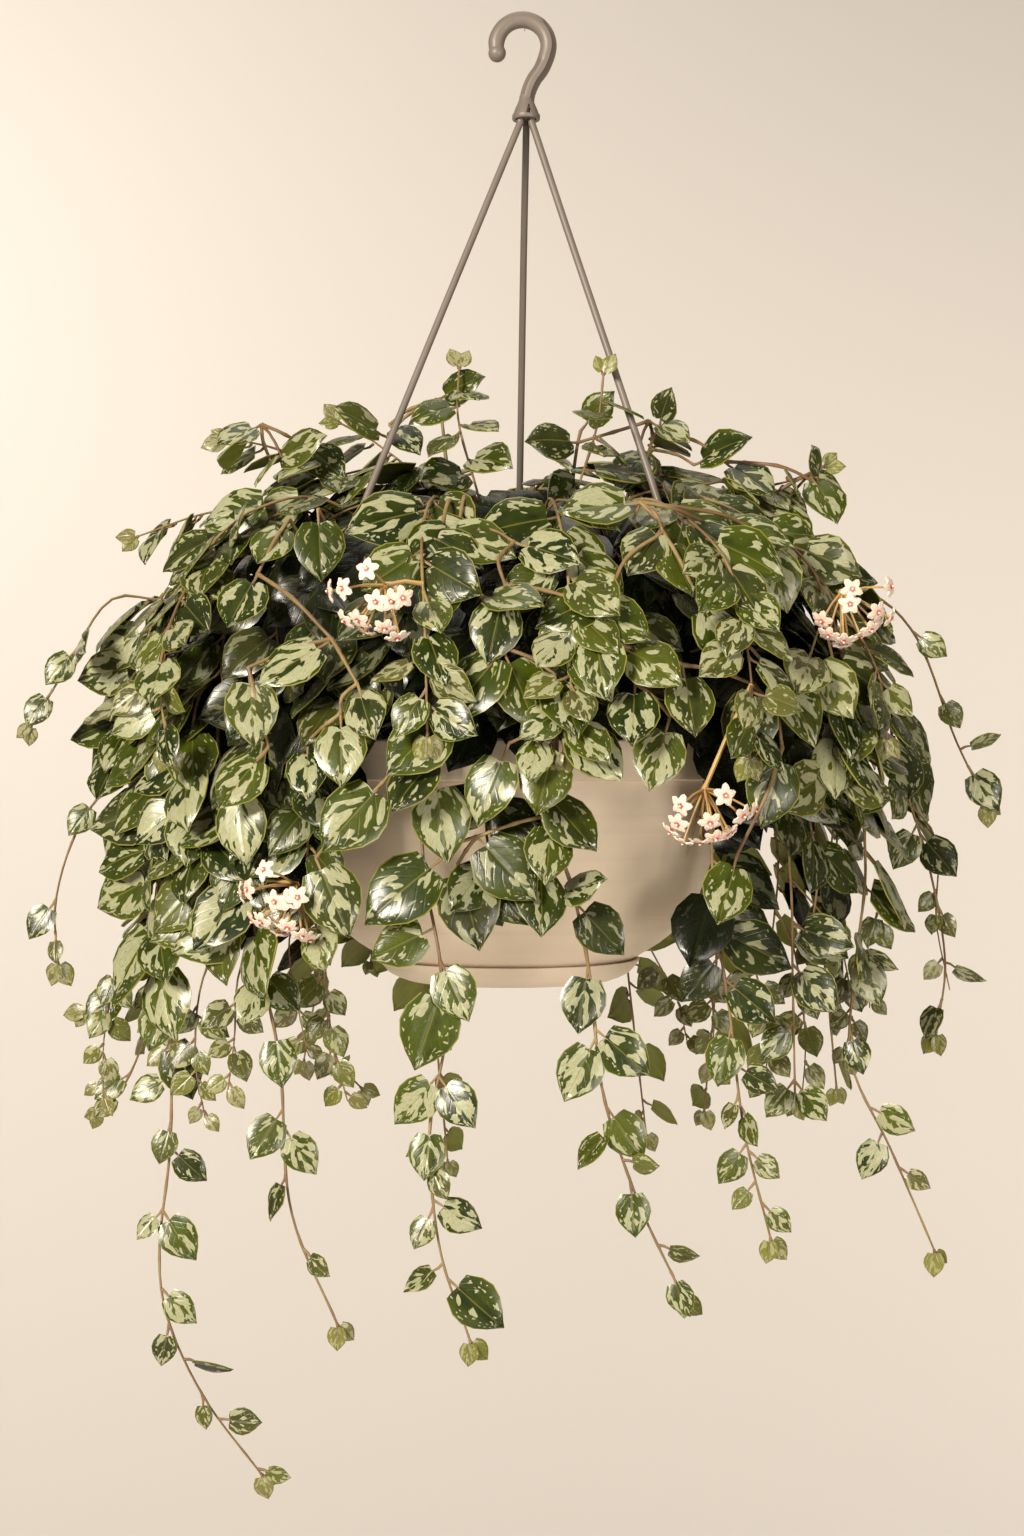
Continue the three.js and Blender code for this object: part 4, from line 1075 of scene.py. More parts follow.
def leaf_back_paint():
    c = colours()
    paint = Paint("leaf_back")
    along, offset, out, seed, _, youth, open_light = leaf_signs(paint)
    tone = paint.noise(paint.vector(along * 3.0, offset * 2.0, seed * 29.0), 1.0, detail=2.0)
    body = paint.mix(tone.stretched(0.3, 1.8), shade(c.underside, 0.7), shade(c.underside, 1.15))
    ribs = ((along - out * 0.34) * 7.0 + seed).fraction() - 0.5
    veins = (1.0 - abs(ribs).edge(0.02, 0.1)) * 0.35
    body = paint.mix(veins.larger(1.0 - out.edge(0.015, 0.06)), body, shade(c.margin, 0.8))
    body = paint.mix(out.edge(0.92, 0.98), body, c.margin)
    body = paint.mix((youth * 0.7).clamped(), body, c.young)
    # Painted shade: the underside of a leaf deep in the mound is painted towards a near-black green.
    body = paint.mix(open_light, shade(c.leaf_dark, 0.25), body)
    return paint.finish(body, 0.5, veins * -0.5 + tone, 0.3, 0.0005)


def stem_paint(name="stem_bark", tint=1.0):
    c = colours()
    paint = Paint(name)
    spot = paint.place()
    broad = paint.noise(spot, 28.0, detail=2.0)
    fine = paint.noise(spot, 420.0, detail=3.0)
    light = tuple(k * tint for k in (c.stem[0] * 1.35, c.stem[1] * 1.75, c.stem[2] * 1.6))
    colour = paint.mix(broad.stretched(0.36, 3.2), shade(c.stem, 0.75 * tint), light)
    colour = paint.mix((fine - 0.35).clamped() * 0.9, colour, shade(c.stem, 0.45))
    return paint.finish(colour, 0.55, fine, 0.4, 0.0003)


def stalk_paint():
    paint = Paint("flower_stalk")
    spot = paint.place()
    tone = paint.noise(spot, 60.0, detail=2.0)
    colour = paint.mix(tone.stretched(0.3, 2.0), (0.42, 0.24, 0.08), (0.62, 0.43, 0.18))
    return paint.finish(colour, 0.5, tone, 0.2, 0.0003)


def petal_paint():
    c = colours()
    paint = Paint("petal")
    traits = paint.node("ShaderNodeAttribute", {"attribute_name": "petal_traits"}, out=1)
    reach, _, seed = paint.parts(traits)
    fuzz = paint.noise(paint.place(), 1500.0, detail=2.0)
    body = paint.mix((fuzz * 0.3 + seed * seed * 0.6).clamped(), c.petal, (0.80, 0.55, 0.45))
    body = paint.mix((1.0 - reach.edge(0.14, 0.4)) * 0.7, body, (0.80, 0.40, 0.34))
    return paint.finish(body, 0.75, fuzz, 0.5, 0.0003, Sheen_Weight=0.25, Sheen_Roughness=0.4)


def crown_paint():
    c = colours()
    paint = Paint("flower_crown")
    tone = paint.noise(paint.place(), 900.0, detail=1.0)
    body = paint.mix(tone.stretched(0.3, 2.0), c.crown, (0.60, 0.16, 0.13))
    return paint.finish(body, 0.32, tone, 0.1, 0.0002)


def bead_paint():
    paint = Paint("flower_bead")
    tone = paint.noise(paint.place(), 900.0, detail=1.0)
    return paint.finish(paint.mix(tone, (0.85, 0.62, 0.42), (0.92, 0.82, 0.7)), 0.3, tone, 0.1, 0.0002)


def bowl_paint():
    c = colours()
    paint = Paint("bowl_plastic")
    spot = paint.place()
    x, y, z = paint.parts(spot)
    cloud = paint.noise(spot, 9.0, detail=3.0)
    lines = paint.noise(paint.vector(x * 3.0, y * 3.0, z * 260.0), 1.0, detail=3.0)
    grain = paint.noise(spot, 900.0, detail=2.0)
    colour = paint.mix(cloud.stretched(0.3, 1.8), shade(c.plastic, 0.93), shade(c.plastic, 1.06))
    colour = paint.mix((lines - 0.52).clamped() * 1.2, colour, shade(c.plastic, 0.72))
    return paint.finish(colour, 0.46 + grain * 0.14, lines * 0.5 + grain * 0.3, 0.12, 0.0004)


def hanger_paint():
    c = colours()
    paint = Paint("hanger_plastic")
    spot = paint.place()
    cloud = paint.noise(spot, 60.0, detail=3.0)
    grain = paint.noise(spot, 1500.0, detail=2.0)
    colour = paint.mix(cloud.stretched(0.3, 1.8), shade(c.hanger, 0.9), shade(c.hanger, 1.1))
    return paint.finish(colour, 0.38 + grain * 0.12, grain, 0.08, 0.0003)


def soil_paint(name, light):
    paint = Paint(name)
    spot = paint.place()
    crumb = paint.node("ShaderNodeTexVoronoi", {}, {"Vector": spot, "Scale": 260.0})
    fibre = paint.noise(spot, 420.0, detail=4.0, roughness=0.65)
    share = fibre.stretched(0.3, 1.7)
    colour = paint.mix(share, (0.012 * light, 0.008 * light, 0.006 * light),
                       (0.085 * light, 0.05 * light, 0.03 * light))
    return paint.finish(colour, 0.85, crumb + fibre, 0.9, 0.002)


# Plant parts

LEAF_ROWS = [(0.0, 0.0), (0.07, 0.62), (0.22, 0.94), (0.42, 1.0), (0.62, 0.83), (0.79, 0.51), (0.92, 0.18),
             (1.0, 0.0)]
LEAF_COLUMNS = 4
LEAF_WIDTH = 0.84
LEAF_RELIEF = 0.045
SHOULDER_REACH = 0.085
# How the blades differ: bend of the tip, cup, twist and wave of the edge
BLADE_SHAPES = [(0.03, 0.26), (-0.14, 0.06), (-0.18, 0.18), (-0.06, 0.06)]
JOINT_SWELL = 1.28
MARKS_TO_JOINT = 5
MARK_SPACING = 6.0

# The added leaves and shoots. Shoots follow each other round the mound by the golden angle.
FULL_LEAF = 30
SPRAY_INTERNODE = 15.5
GOLDEN_TURN = 137.508
YOUNG_TIP = (7, 11)
FREE_END = -110


def model_leaf():
    """One blade, its stalk end at the origin and its tip along +X, shaped row by row from a flat grid."""
    clear_selection()
    length = LEAF_LENGTH * MM
    rows = len(LEAF_ROWS) - 1
    bpy.ops.mesh.primitive_grid_add(x_subdivisions=rows, y_subdivisions=LEAF_COLUMNS, size=1.0, calc_uvs=True)
    o = named("leaf_model")
    o.data.uv_layers[0].name = "leaf"
    bpy.ops.object.mode_set(mode="EDIT")
    # Each half of the blade swells between the sunken midrib and the edge
    choose(lambda co: abs(abs(co.y) - 0.25) < 1e-3 and abs(co.x) < 0.49)
    bpy.ops.transform.translate(value=(0, 0, LEAF_RELIEF))
    for i, (place, width) in enumerate(LEAF_ROWS):
        at = i / rows - 0.5
        choose(lambda co, at=at: abs(co.x - at) < 1e-4 and co.z < 0.5)
        half = max(width, 1e-5) * LEAF_WIDTH
        bpy.ops.transform.resize(value=(1, half, 1), center_override=(at, 0, 0))
        # Moved aside so that a later row's test doesn't find it again
        bpy.ops.transform.translate(value=(place - at, 0, 1.0))
    bpy.ops.mesh.select_all(action="SELECT")
    bpy.ops.transform.translate(value=(0, 0, -1.0))
    # The cordate base: the shoulders reach back past the stalk
    choose(lambda co: abs(co.x - LEAF_ROWS[1][0]) < 1e-3 and abs(co.y) > 0.1)
    bpy.ops.transform.translate(value=(-SHOULDER_REACH, 0, 0))
    bpy.ops.mesh.select_all(action="SELECT")
    bpy.ops.transform.resize(value=(length, length, length), center_override=(0, 0, 0))
    bpy.ops.mesh.remove_doubles(threshold=1e-5)
    bpy.ops.object.mode_set(mode="OBJECT")
    take(o)
    bpy.ops.object.transform_apply(location=True, rotation=True, scale=True)
    o.data.materials.clear()
    o.data.materials.append(leaf_face_paint())
    o.data.materials.append(leaf_back_paint())
    apply_modifier(o, "SOLIDIFY", thickness=sizes().leaf_thickness, offset=-1.0, material_offset=1,
                   material_offset_rim=0)
    smooth(o, 60)
    o.data.attributes.new("leaf_traits", "FLOAT_COLOR", "POINT")
    return o


def leaf_copy(model, leaf, shape):
    """A copy of the blade with its own mesh, bent, cupped and put in place."""
    x, y, z = (points_of(model) / (LEAF_LENGTH * MM)).T
    bend, cup, twist, wave = shape
    lift = (z + 0.06 * (np.abs(y) * 2) * (1 - x) + cup * (y * 2) ** 2 - bend * np.maximum(x, 0) ** 2.4
            + twist * x * y + wave * np.sin(9 * x + 3 * y) * np.abs(y))
    matrix = np.array([leaf.along, leaf.across, leaf.face])
    placed = (np.stack([x, y, lift], axis=1) * leaf.length) @ matrix + leaf.base + AXIS
    o = copy_at(model, "leaf", placed * MM)
    # The fourth trait is how open to the light the leaf hangs: 1 less its painted shade.
    traits = np.tile([leaf.seed, leaf.silver, leaf.youth, 1.0 - leaf.painted_shade], len(o.data.vertices))
    o.data.attributes["leaf_traits"].data.foreach_set("color", traits)
    return o


def stem_run(points, radius, tip_radius):
    """A stem as points and radii in metres, a little swollen here and there, as at a joint."""
    run = []
    for i, p in enumerate(points):
        share = i / (len(points) - 1)
        swell = JOINT_SWELL if i % MARKS_TO_JOINT == 0 else 1.0
        run.append((metres(p), (radius + (tip_radius - radius) * share) * swell))
    return run


def stalk_run(leaf):
    """A leaf's stalk, which ends just inside the blade."""
    radius = sizes().stalk_radius
    middle = leaf.spot + leaf.along * 0.5 * leaf.petiole - leaf.face * 0.7
    into = leaf.base + leaf.along * 0.07 * leaf.length - leaf.face * 0.25
    return [(metres(leaf.spot), radius * 1.2), (metres(middle), radius), (metres(into), radius * 0.7)]


def leafy_piece(name, model, leaves, runs, dice, bark):
    """Stems, stalks and blades of one spray or vine, joined in one piece."""
    runs = runs + [stalk_run(leaf) for leaf in leaves]
    wood = wires(name, runs, sides=1)
    settle(wood, bark)
    smooth(wood, 60)
    copies = []
    for leaf in leaves:
        copies.append(leaf_copy(model, leaf, [dice.uniform(*span) for span in BLADE_SHAPES]))
    join(wood, *copies)
    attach(wood, "root")
    return wood


class BASKET_OT_foliage(bpy.types.Operator):
    """Vines with their full number of leaves, and the short sprays that fill the mound and its curtain"""
    bl_idname = "basket.foliage"
    bl_label = "Foliage"

    def execute(self, context):
        dice = random.Random(20)
        foliage = Foliage()
        for _, hub, lean in UMBELS.values():
            hub, lean = np.array(hub, float), unit(np.array(lean, float))
            middle = hub + lean * 15
            outward = unit(np.array([middle[0] * 0.25, middle[1], 0.0]))
            foliage.blooms.append((middle, outward, 40.0))
        vines = all_vines()
        for vine in vines.values():
            vine.taken = set()
            for segment, side, leaf in solid_leaves(vine):
                give_looks(leaf, dice, 0.06 * max(0.0, 17.0 - leaf.length))
                foliage.add(leaf)
                vine.leaves.append(leaf)
                vine.taken.add((segment, side))
        sprays = self.grow_front(foliage, dice)
        for vine in vines.values():
            self.fill_vine(vine, foliage, dice)
        sprays.update(self.grow_sprays(foliage, dice))
        sprays.update(self.grow_fringe(foliage, dice))

        model = model_leaf()
        bark = stem_paint()
        for vine in vines.values():
            count = max(12, int(round(vine.route.length / MARK_SPACING)))
            run = stem_run(vine.route.spaced(count), sizes().stem_radius, 0.5 * sizes().stem_radius)
            piece = leafy_piece(f"{vine.name}_leafy", model, vine.leaves, [run], dice, bark)
            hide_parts(f"vine_{vine.name}")
        for name, (leaves, runs) in sprays.items():
            leafy_piece(name, model, leaves, runs, dice, bark)
        remove(model)
        return {"FINISHED"}

    def grow_front(self, foliage, dice):
        """The mound's front: each listed leaf, on a stem that arches down to it from the leaf above."""
        shoots, nodes = {}, []
        rows = [(band, *row) for band, listed in FRONT_LEAVES.items() for row in listed]
        for band, *row in sorted(rows, key=lambda r: -r[2]):
            leaf = self.front_leaf(row, foliage, dice)
            if leaf is None:
                continue
            leaves, runs = shoots.setdefault(f"front_{band}", ([], []))
            leaves.append(leaf)
            runs.append(self.front_stem(leaf, nodes, dice))
            nodes.append(leaf.spot)
        return shoots

    def front_leaf(self, row, foliage, dice):
        """A leaf at its listed place, as near to the mound's skin as it finds room."""
        across, up, tip_across, tip_up = row
        for ahead in (0, 4, 8, 12, 16, -5, -10):
            depth = skin_depth(across, up) - ahead
            base = seen(across, up, depth)
            span = seen(tip_across, tip_up, depth) - base
            shown = float(np.linalg.norm(span))
            length = max(shown * 1.04, min(25.0, shown * 1.3))
            lean = -math.sqrt(max(length ** 2 - shown ** 2, 0.0))
            along = unit(span + np.array([0.0, lean, 0.0]))
            for _ in range(3):
                face = np.array([0.22 * across / 100, -1.0, 0.55]) + np.array(
                    [dice.uniform(-0.35, 0.35), 0.0, dice.uniform(-0.3, 0.3)])
                face = unit(face - along * face.dot(along))
                petiole = dice.uniform(5.0, 8.0)
                leaf = Leaf(base - along * petiole, along, face, length, petiole)
                if foliage.fits(leaf):
                    give_looks(leaf, dice)
                    foliage.add(leaf)
                    return leaf
        return None

    def front_stem(self, leaf, nodes, dice):
        """A stem that comes from the nearest leaf joint above, or else out of the mass behind."""
        spot = leaf.spot
        out = unit(np.array([spot[0], spot[1], 0.0]))
        above = [n for n in nodes if n[2] > spot[2] + 6 and 12 < np.linalg.norm(n - spot) < 58]
        if above:
            start = min(above, key=lambda n: np.linalg.norm(n - spot))
            reach = float(np.linalg.norm(start - spot))
            bow = (0.5 * (start + spot) + out * 0.08 * reach + UP * 0.05 * reach
                   + np.cross(out, UP) * dice.uniform(-0.2, 0.2) * reach)
        else:
            start = spot - out * 30 + UP * 12
            bow = spot - out * 12 + UP * 13
            if spot[2] > 88:
                start = np.array([0.8 * spot[0], 0.8 * spot[1], min(spot[2] - 34, 96.0)])
                bow = np.array([0.94 * spot[0], 0.94 * spot[1], spot[2] - 9])
        route = Route([start, bow, spot])
        return stem_run(route.spaced(10), sizes().stem_radius, 0.75 * sizes().stem_radius)

    def fill_vine(self, vine, foliage, dice):
        """Leaves that the vine's solid has no room for: partners, and a second pair in each segment."""
        last = len(vine.joints) - 1
        for segment in range(2, last):
            share = segment / last
            if vine.joints[segment][2] <= vine.lowest + 10:
                break
            for side in (1, -1):
                for place in (0.5 + 0.1 * side, 0.05 + 0.05 * side):
                    if (segment, side) in vine.taken and place > 0.2:
                        continue
                    point = vine.segment_point(segment, place)
                    hanging = point[2] < FREE_END
                    if hanging and (place < 0.2 or dice.random() < 0.35):
                        continue
                    if is_thin(point, dice):
                        continue
                    length = FULL_LEAF * (1 - 0.55 * max(0.0, share - 0.5) / 0.5)
                    youth = 0.55 * max(0.0, share - 0.72) / 0.28
                    leaf = try_leaf(foliage, point, side, length, dice, 5, youth)
                    if leaf:
                        vine.leaves.append(leaf)
        self.tip_leaves(vine, dice)

    def tip_leaves(self, vine, dice):
        """The last two young leaves at the end of a vine."""
        tip = vine.route.along(1.0)
        back = vine.route.along(1.0 - 8.0 / vine.route.length)
        ahead = unit(tip - back)
        for side in (1, -1):
            face = unit(np.array([0.2 * side, -1.0, 0.4]))
            along = unit(ahead + 0.45 * side * unit(np.cross(face, ahead)))
            face = unit(face - along * face.dot(along))
            leaf = Leaf(tip - ahead * 1.0, along, face, dice.uniform(*YOUNG_TIP), 1.5)
            give_looks(leaf, dice, 0.85)
            vine.leaves.append(leaf)

    def grow_sprays(self, foliage, dice):
        """Short leafy shoots all over the mound and its curtain, one piece for each eighth of the round."""
        sprays = {}
        for kind, count in (("crown", sizes().crown_sprays), ("curtain", sizes().curtain_sprays)):
            for i in range(count):
                bearing = math.radians(GOLDEN_TURN * i + dice.uniform(-8, 8))
                points = self.spray_points(kind, (i + 0.5) / count, bearing, dice)
                thinned = kind == "curtain" and math.cos(bearing) > 0.35 and i % 3
                if len(points) < 3 or thinned:
                    continue
                route = Route(points)
                steps = int(route.length / SPRAY_INTERNODE)
                if steps < 3:
                    continue
                sector = int(((math.degrees(bearing) % 360)) // 45) + 1
                leaves, runs = sprays.setdefault(f"{kind}_spray_{sector}", ([], []))
                leaves.extend(self.spray_leaves(route, steps, foliage, dice))
                marks = route.spaced(max(8, int(route.length / MARK_SPACING)))
                radius = sizes().stem_radius
                runs.append(stem_run(marks, 0.85 * radius, 0.5 * radius))
        return sprays

    def spray_points(self, kind, share, bearing, dice):
        """The points of a shoot that comes out of the mound and lies along its skin."""
        # Those at the front stay behind the listed leaves placed there
        at_front = math.sin(bearing) < -0.6
        depth = dice.choice([0.86, 0.78, 0.7, 0.62] if at_front else [1.0, 0.95, 0.88, 0.8, 0.7])
        if kind == "crown":
            start = 150 * math.sqrt(share) + dice.uniform(-8, 8)
            reach = dice.uniform(70, 105)
        else:
            start = dice.uniform(160, 215)
            reach = dice.uniform(80, 130)
        sway = dice.uniform(-0.22, 0.22)
        low = lowest(bearing) + dice.uniform(-6, 10)
        points = [envelope(bearing, max(6.0, start - 24), depth * 0.72)]
        for step in range(4):
            turn = bearing + sway * step / 3 + dice.uniform(-0.04, 0.04)
            point = envelope(turn, max(4.0, start + reach * step / 3), depth * (0.94 if step == 0 else 1.0))
            if point[2] < low:
                break
            points.append(point)
        return points

    def spray_leaves(self, route, steps, foliage, dice):
        """The leaves of a shoot, in pairs that are a little apart on the stem."""
        leaves = []
        for step in range(1, steps + 1):
            share = step / steps
            for side in (1, -1):
                point = route.along(share if side > 0 else share - 0.12 / steps)
                if is_thin(point, dice):
                    continue
                length = FULL_LEAF * (1 - 0.35 * max(0.0, share - 0.5))
                leaf = try_leaf(foliage, point, side, length, dice, 6, max(0.0, share - 0.75))
                if leaf:
                    leaves.append(leaf)
        return leaves

    def grow_fringe(self, foliage, dice):
        """Thin young strands with small leaves, which hang out of the curtain at both sides."""
        strands = {}
        for side_name, rows in FRINGE.items():
            leaves, runs = strands.setdefault(f"fringe_{side_name}", ([], []))
            for across, up, tip_across, tip_up, depth, pairs in rows:
                top, tip = seen(across, up, depth), seen(tip_across, tip_up, depth)
                bow = 0.5 * (top + tip) + np.array([dice.uniform(-6, 6), dice.uniform(-4, 4), 0.0])
                route = Route([top * np.array([0.86, 0.86, 1.0]) + UP * 34, top + UP * 8, bow, tip])
                first = 1 - math.dist(top, tip) / route.length
                for i in range(pairs):
                    share = first + (1 - first) * (i + 0.6) / pairs
                    late = (i + 1) / pairs
                    for side in (1, -1):
                        place = route.along(min(1.0, share + 0.02 * side))
                        swing = math.radians(dice.uniform(18, 58)) * side
                        along = unit(np.array([math.sin(swing), dice.uniform(-0.5, 0.1), -math.cos(swing)]))
                        face = np.array([dice.uniform(-0.4, 0.4), -1.0, dice.uniform(-0.2, 0.4)])
                        leaf = Leaf(place, along, unit(face - along * face.dot(along)),
                                    dice.uniform(12.5, 17.5) * (1 - 0.4 * late), 3.0)
                        if foliage.fits(leaf):
                            give_looks(leaf, dice, 0.8 * late)
                            # The fringe hangs free of the mound and gets no painted shade.
                            leaf.painted_shade = 0.0
                            foliage.add(leaf)
                            leaves.append(leaf)
                runs.append(stem_run(route.spaced(16), 0.6 * sizes().stem_radius, 0.3 * sizes().stem_radius))
        return strands


PETAL_STEPS = 20
# How far out the outline's points lie, from a petal's tip round to the next one's, and how far aside
PETAL_REACH = (1.0, 0.86, 0.56, 0.86)
PETAL_ASIDE = (0.0, -0.04, 0.0, 0.04)
CROWN_RADIUS = 1.5
# Flowers between those of the solid: [place in the spiral, longer or shorter stalk]
EXTRA_FLOWERS = [(2.5, -1.5), (4.5, 1.5), (6.5, -2.0), (7.6, 2.0)]


def model_flower():
    """One star flower at the origin, facing +Z: joined petals, a red crown and a bead in its middle."""
    clear_selection()
    bpy.ops.mesh.primitive_circle_add(vertices=PETAL_STEPS, radius=1.0, fill_type="TRIFAN")
    petals = named("petals")
    bpy.ops.object.mode_set(mode="EDIT")
    for step in range(PETAL_STEPS):
        turn = math.pi / 2 + 2 * math.pi * step / PETAL_STEPS
        spot = Vector((math.cos(turn), math.sin(turn), 0))
        choose(lambda co, spot=spot: (co - spot).length < 0.02)
        reach = PETAL_REACH[step % 4]
        aside = Vector((-math.sin(turn), math.cos(turn), 0)) * PETAL_ASIDE[step % 4]
        bpy.ops.transform.resize(value=(reach, reach, 1), center_override=(0, 0, 0))
        bpy.ops.transform.translate(value=aside)
    bpy.ops.mesh.select_all(action="SELECT")
    bpy.ops.mesh.subdivide(number_cuts=1)
    choose(lambda co: co.length > 0.75)
    bpy.ops.transform.translate(value=(0, 0, -0.16))
    choose(lambda co: 0.3 < co.length <= 0.52)
    bpy.ops.transform.translate(value=(0, 0, 0.06))
    bpy.ops.mesh.select_all(action="SELECT")
    size = FLOWER_RADIUS * MM
    bpy.ops.transform.resize(value=(size, size, size), center_override=(0, 0, 0))
    bpy.ops.transform.translate(value=(0, 0, 0.9 * MM))
    bpy.ops.object.mode_set(mode="OBJECT")
    settle(petals, bpy.data.materials["petal"])
    apply_modifier(petals, "SOLIDIFY", thickness=0.6 * MM, offset=-1.0)
    smooth(petals, 50)

    clear_selection()
    bpy.ops.mesh.primitive_cylinder_add(
        vertices=10, radius=CROWN_RADIUS * MM, depth=0.8 * MM, location=(0, 0, 1.2 * MM))
    crown = named("crown")
    bpy.ops.object.mode_set(mode="EDIT")
    for step in range(5):
        turn = 2 * math.pi * (step + 0.5) / 5 + math.pi / 2
        spot = Vector((math.cos(turn), math.sin(turn), 0)) * CROWN_RADIUS * MM
        choose(lambda co, spot=spot: math.hypot(co.x - spot.x, co.y - spot.y) < 0.25 * MM)
        bpy.ops.transform.resize(value=(0.55, 0.55, 1), center_override=(0, 0, 0))
    choose(lambda co: co.z > 0)
    bpy.ops.transform.resize(value=(0.75, 0.75, 1), center_override=(0, 0, 0))
    bpy.ops.object.mode_set(mode="OBJECT")
    settle(crown, bpy.data.materials["flower_crown"])
    smooth(crown, 50)

    clear_selection()
    bpy.ops.mesh.primitive_ico_sphere_add(subdivisions=1, radius=0.62 * MM, location=(0, 0, 1.75 * MM))
    bead = settle(named("bead"), bpy.data.materials["flower_bead"])
    smooth(bead, 80)
    for o in (petals, crown, bead):
        spots = points_of(o)
        traits = np.zeros((len(spots), 4))
        traits[:, 0] = np.hypot(spots[:, 0], spots[:, 1]) / (FLOWER_RADIUS * MM)
        attribute = o.data.attributes.new("petal_traits", "FLOAT_COLOR", "POINT")
        attribute.data.foreach_set("color", traits.ravel())
    return join(petals, crown, bead)


def facing(direction, spin):
    """Rotation that turns +Z to a direction, after a spin round +Z."""
    to = Vector((0, 0, 1)).rotation_difference(Vector(direction)).to_matrix()
    c, s = math.cos(spin), math.sin(spin)
    return np.array(to) @ np.array([[c, -s, 0], [s, c, 0], [0, 0, 1]])


def stalk_direction(lean, index):
    """The way a flower stalk points: the stalks fill a cone round the lean in a spiral."""
    spread = math.radians(UMBEL_SPREAD) * math.sqrt(index / (FLOWERS - 1))
    spin = math.radians(UMBEL_TWIST) * index
    local = Vector((math.sin(spread) * math.cos(spin), math.sin(spread) * math.sin(spin), math.cos(spread)))
    return np.array(Vector((0, 0, 1)).rotation_difference(Vector(lean)) @ local)


class BASKET_OT_umbels(bpy.types.Operator):
    """Clusters of star flowers on their stalks"""
    bl_idname = "basket.umbels"
    bl_label = "Umbels"

    def execute(self, context):
        petal_paint()
        crown_paint()
        bead_paint()
        stalk = stalk_paint()
        model = model_flower()
        vines = all_vines()
        for number, (name, (carrier, hub, lean)) in enumerate(UMBELS.items()):
            dice = random.Random(300 + number)
            hub, lean = np.array(hub, float), unit(np.array(lean, float))
            runs = [self.peduncle(self.foot(vines[carrier], hub), hub, lean)]
            copies = []
            for place, longer in [(i, None) for i in range(FLOWERS)] + EXTRA_FLOWERS:
                direction = stalk_direction(lean, place)
                if longer is None:
                    reach = PEDICEL * (0.94 + 0.16 * draw(number, place, 7))
                    spin = 6 * draw(number, place, 8)
                else:
                    reach = PEDICEL + longer
                    spin = dice.uniform(0, 6)
                centre = hub + direction * reach
                copies.append(self.flower(model, centre, facing(direction, spin), dice))
                runs.append(self.pedicel(hub, direction, centre))
            piece = wires(f"{name}_flowers", runs, sides=1)
            settle(piece, stalk)
            smooth(piece, 60)
            join(piece, *copies)
            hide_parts(name)
            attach(piece, "root")
        remove(model)
        return {"FINISHED"}

    def flower(self, model, centre, matrix, dice):
        """A copy of the flower, put in place and given its own tone."""
        o = copy_at(model, "flower", points_of(model) @ matrix.T + metres(centre))
        traits = np.empty(len(o.data.vertices) * 4)
        data = o.data.attributes["petal_traits"].data
        data.foreach_get("color", traits)
        traits[2::4] = dice.random()
        data.foreach_set("color", traits)
        return o

    def peduncle(self, start, hub, lean):
        """The cluster's own stem, which ends in a knob."""
        bow = 0.5 * (start + hub) + UP * 1.2
        stem = [(start, 1.05), (bow, 0.9), (hub - unit(hub - bow) * 2.5, 0.95), (hub, 1.5),
                (hub + lean * 1.2, 1.1)]
        return [(metres(point), radius * MM) for point, radius in stem]

    def pedicel(self, hub, direction, centre):
        """One flower's stalk, with a little sag."""
        sag = 0.5 * (hub + centre) + UP * 0.8
        stalk = [(hub + direction * 0.8, 0.62), (sag, 0.46), (centre - direction * 1.2, 0.5),
                 (centre + direction * 0.3, 1.0)]
        return [(metres(point), radius * MM) for point, radius in stalk]

    def foot(self, vine, hub):
        """Where the umbel's own stem leaves the vine that carries it."""
        joints = vine.joints[:-1]
        return joints[int(np.argmin([np.linalg.norm(j - hub) for j in joints]))]


HOOK_CENTRE = (-1.2, -8.1)
HOOK_BEND = 11.8
HOOK_BEND_FROM, HOOK_BEND_TO, HOOK_BEND_STEP = 196, -20, 24
HOOK_NECK = [(7.4, 0, -18.4), (4.2, 0, -23), (2, 0, -27.6), (0.9, 0, -32), (0.5, 0, -38)]
HOOK_RADIUS = 3.7
HOOK_TIP_RADIUS = 3.5
HOOK_NECK_TAPER = 0.35
# The hook is a little less deep than wide
HOOK_FLATTENING = 0.946
CHANNEL_DEPTH = 0.75
# Marks along the hook, of HOOK_MARKS, between which its channels run, and where the inner pair begins
HOOK_MARKS = 200
CHANNEL_FROM, CHANNEL_TO, INNER_CHANNEL_FROM = 84, 194, 130
COLLAR = [(0, -30.5), (2.9, -30.5), (3.3, -32.5), (4.1, -34.6), (5.0, -36.6), (5.6, -38.3), (5.75, -39.0),
          (6.2, -39.2), (6.3, -39.5), (6.3, -41.1), (6.0, COLLAR_FOOT), (0, COLLAR_FOOT)]
WINDOW_X = COLLAR_X + 1.2
WINDOW_HEIGHT = -37.6


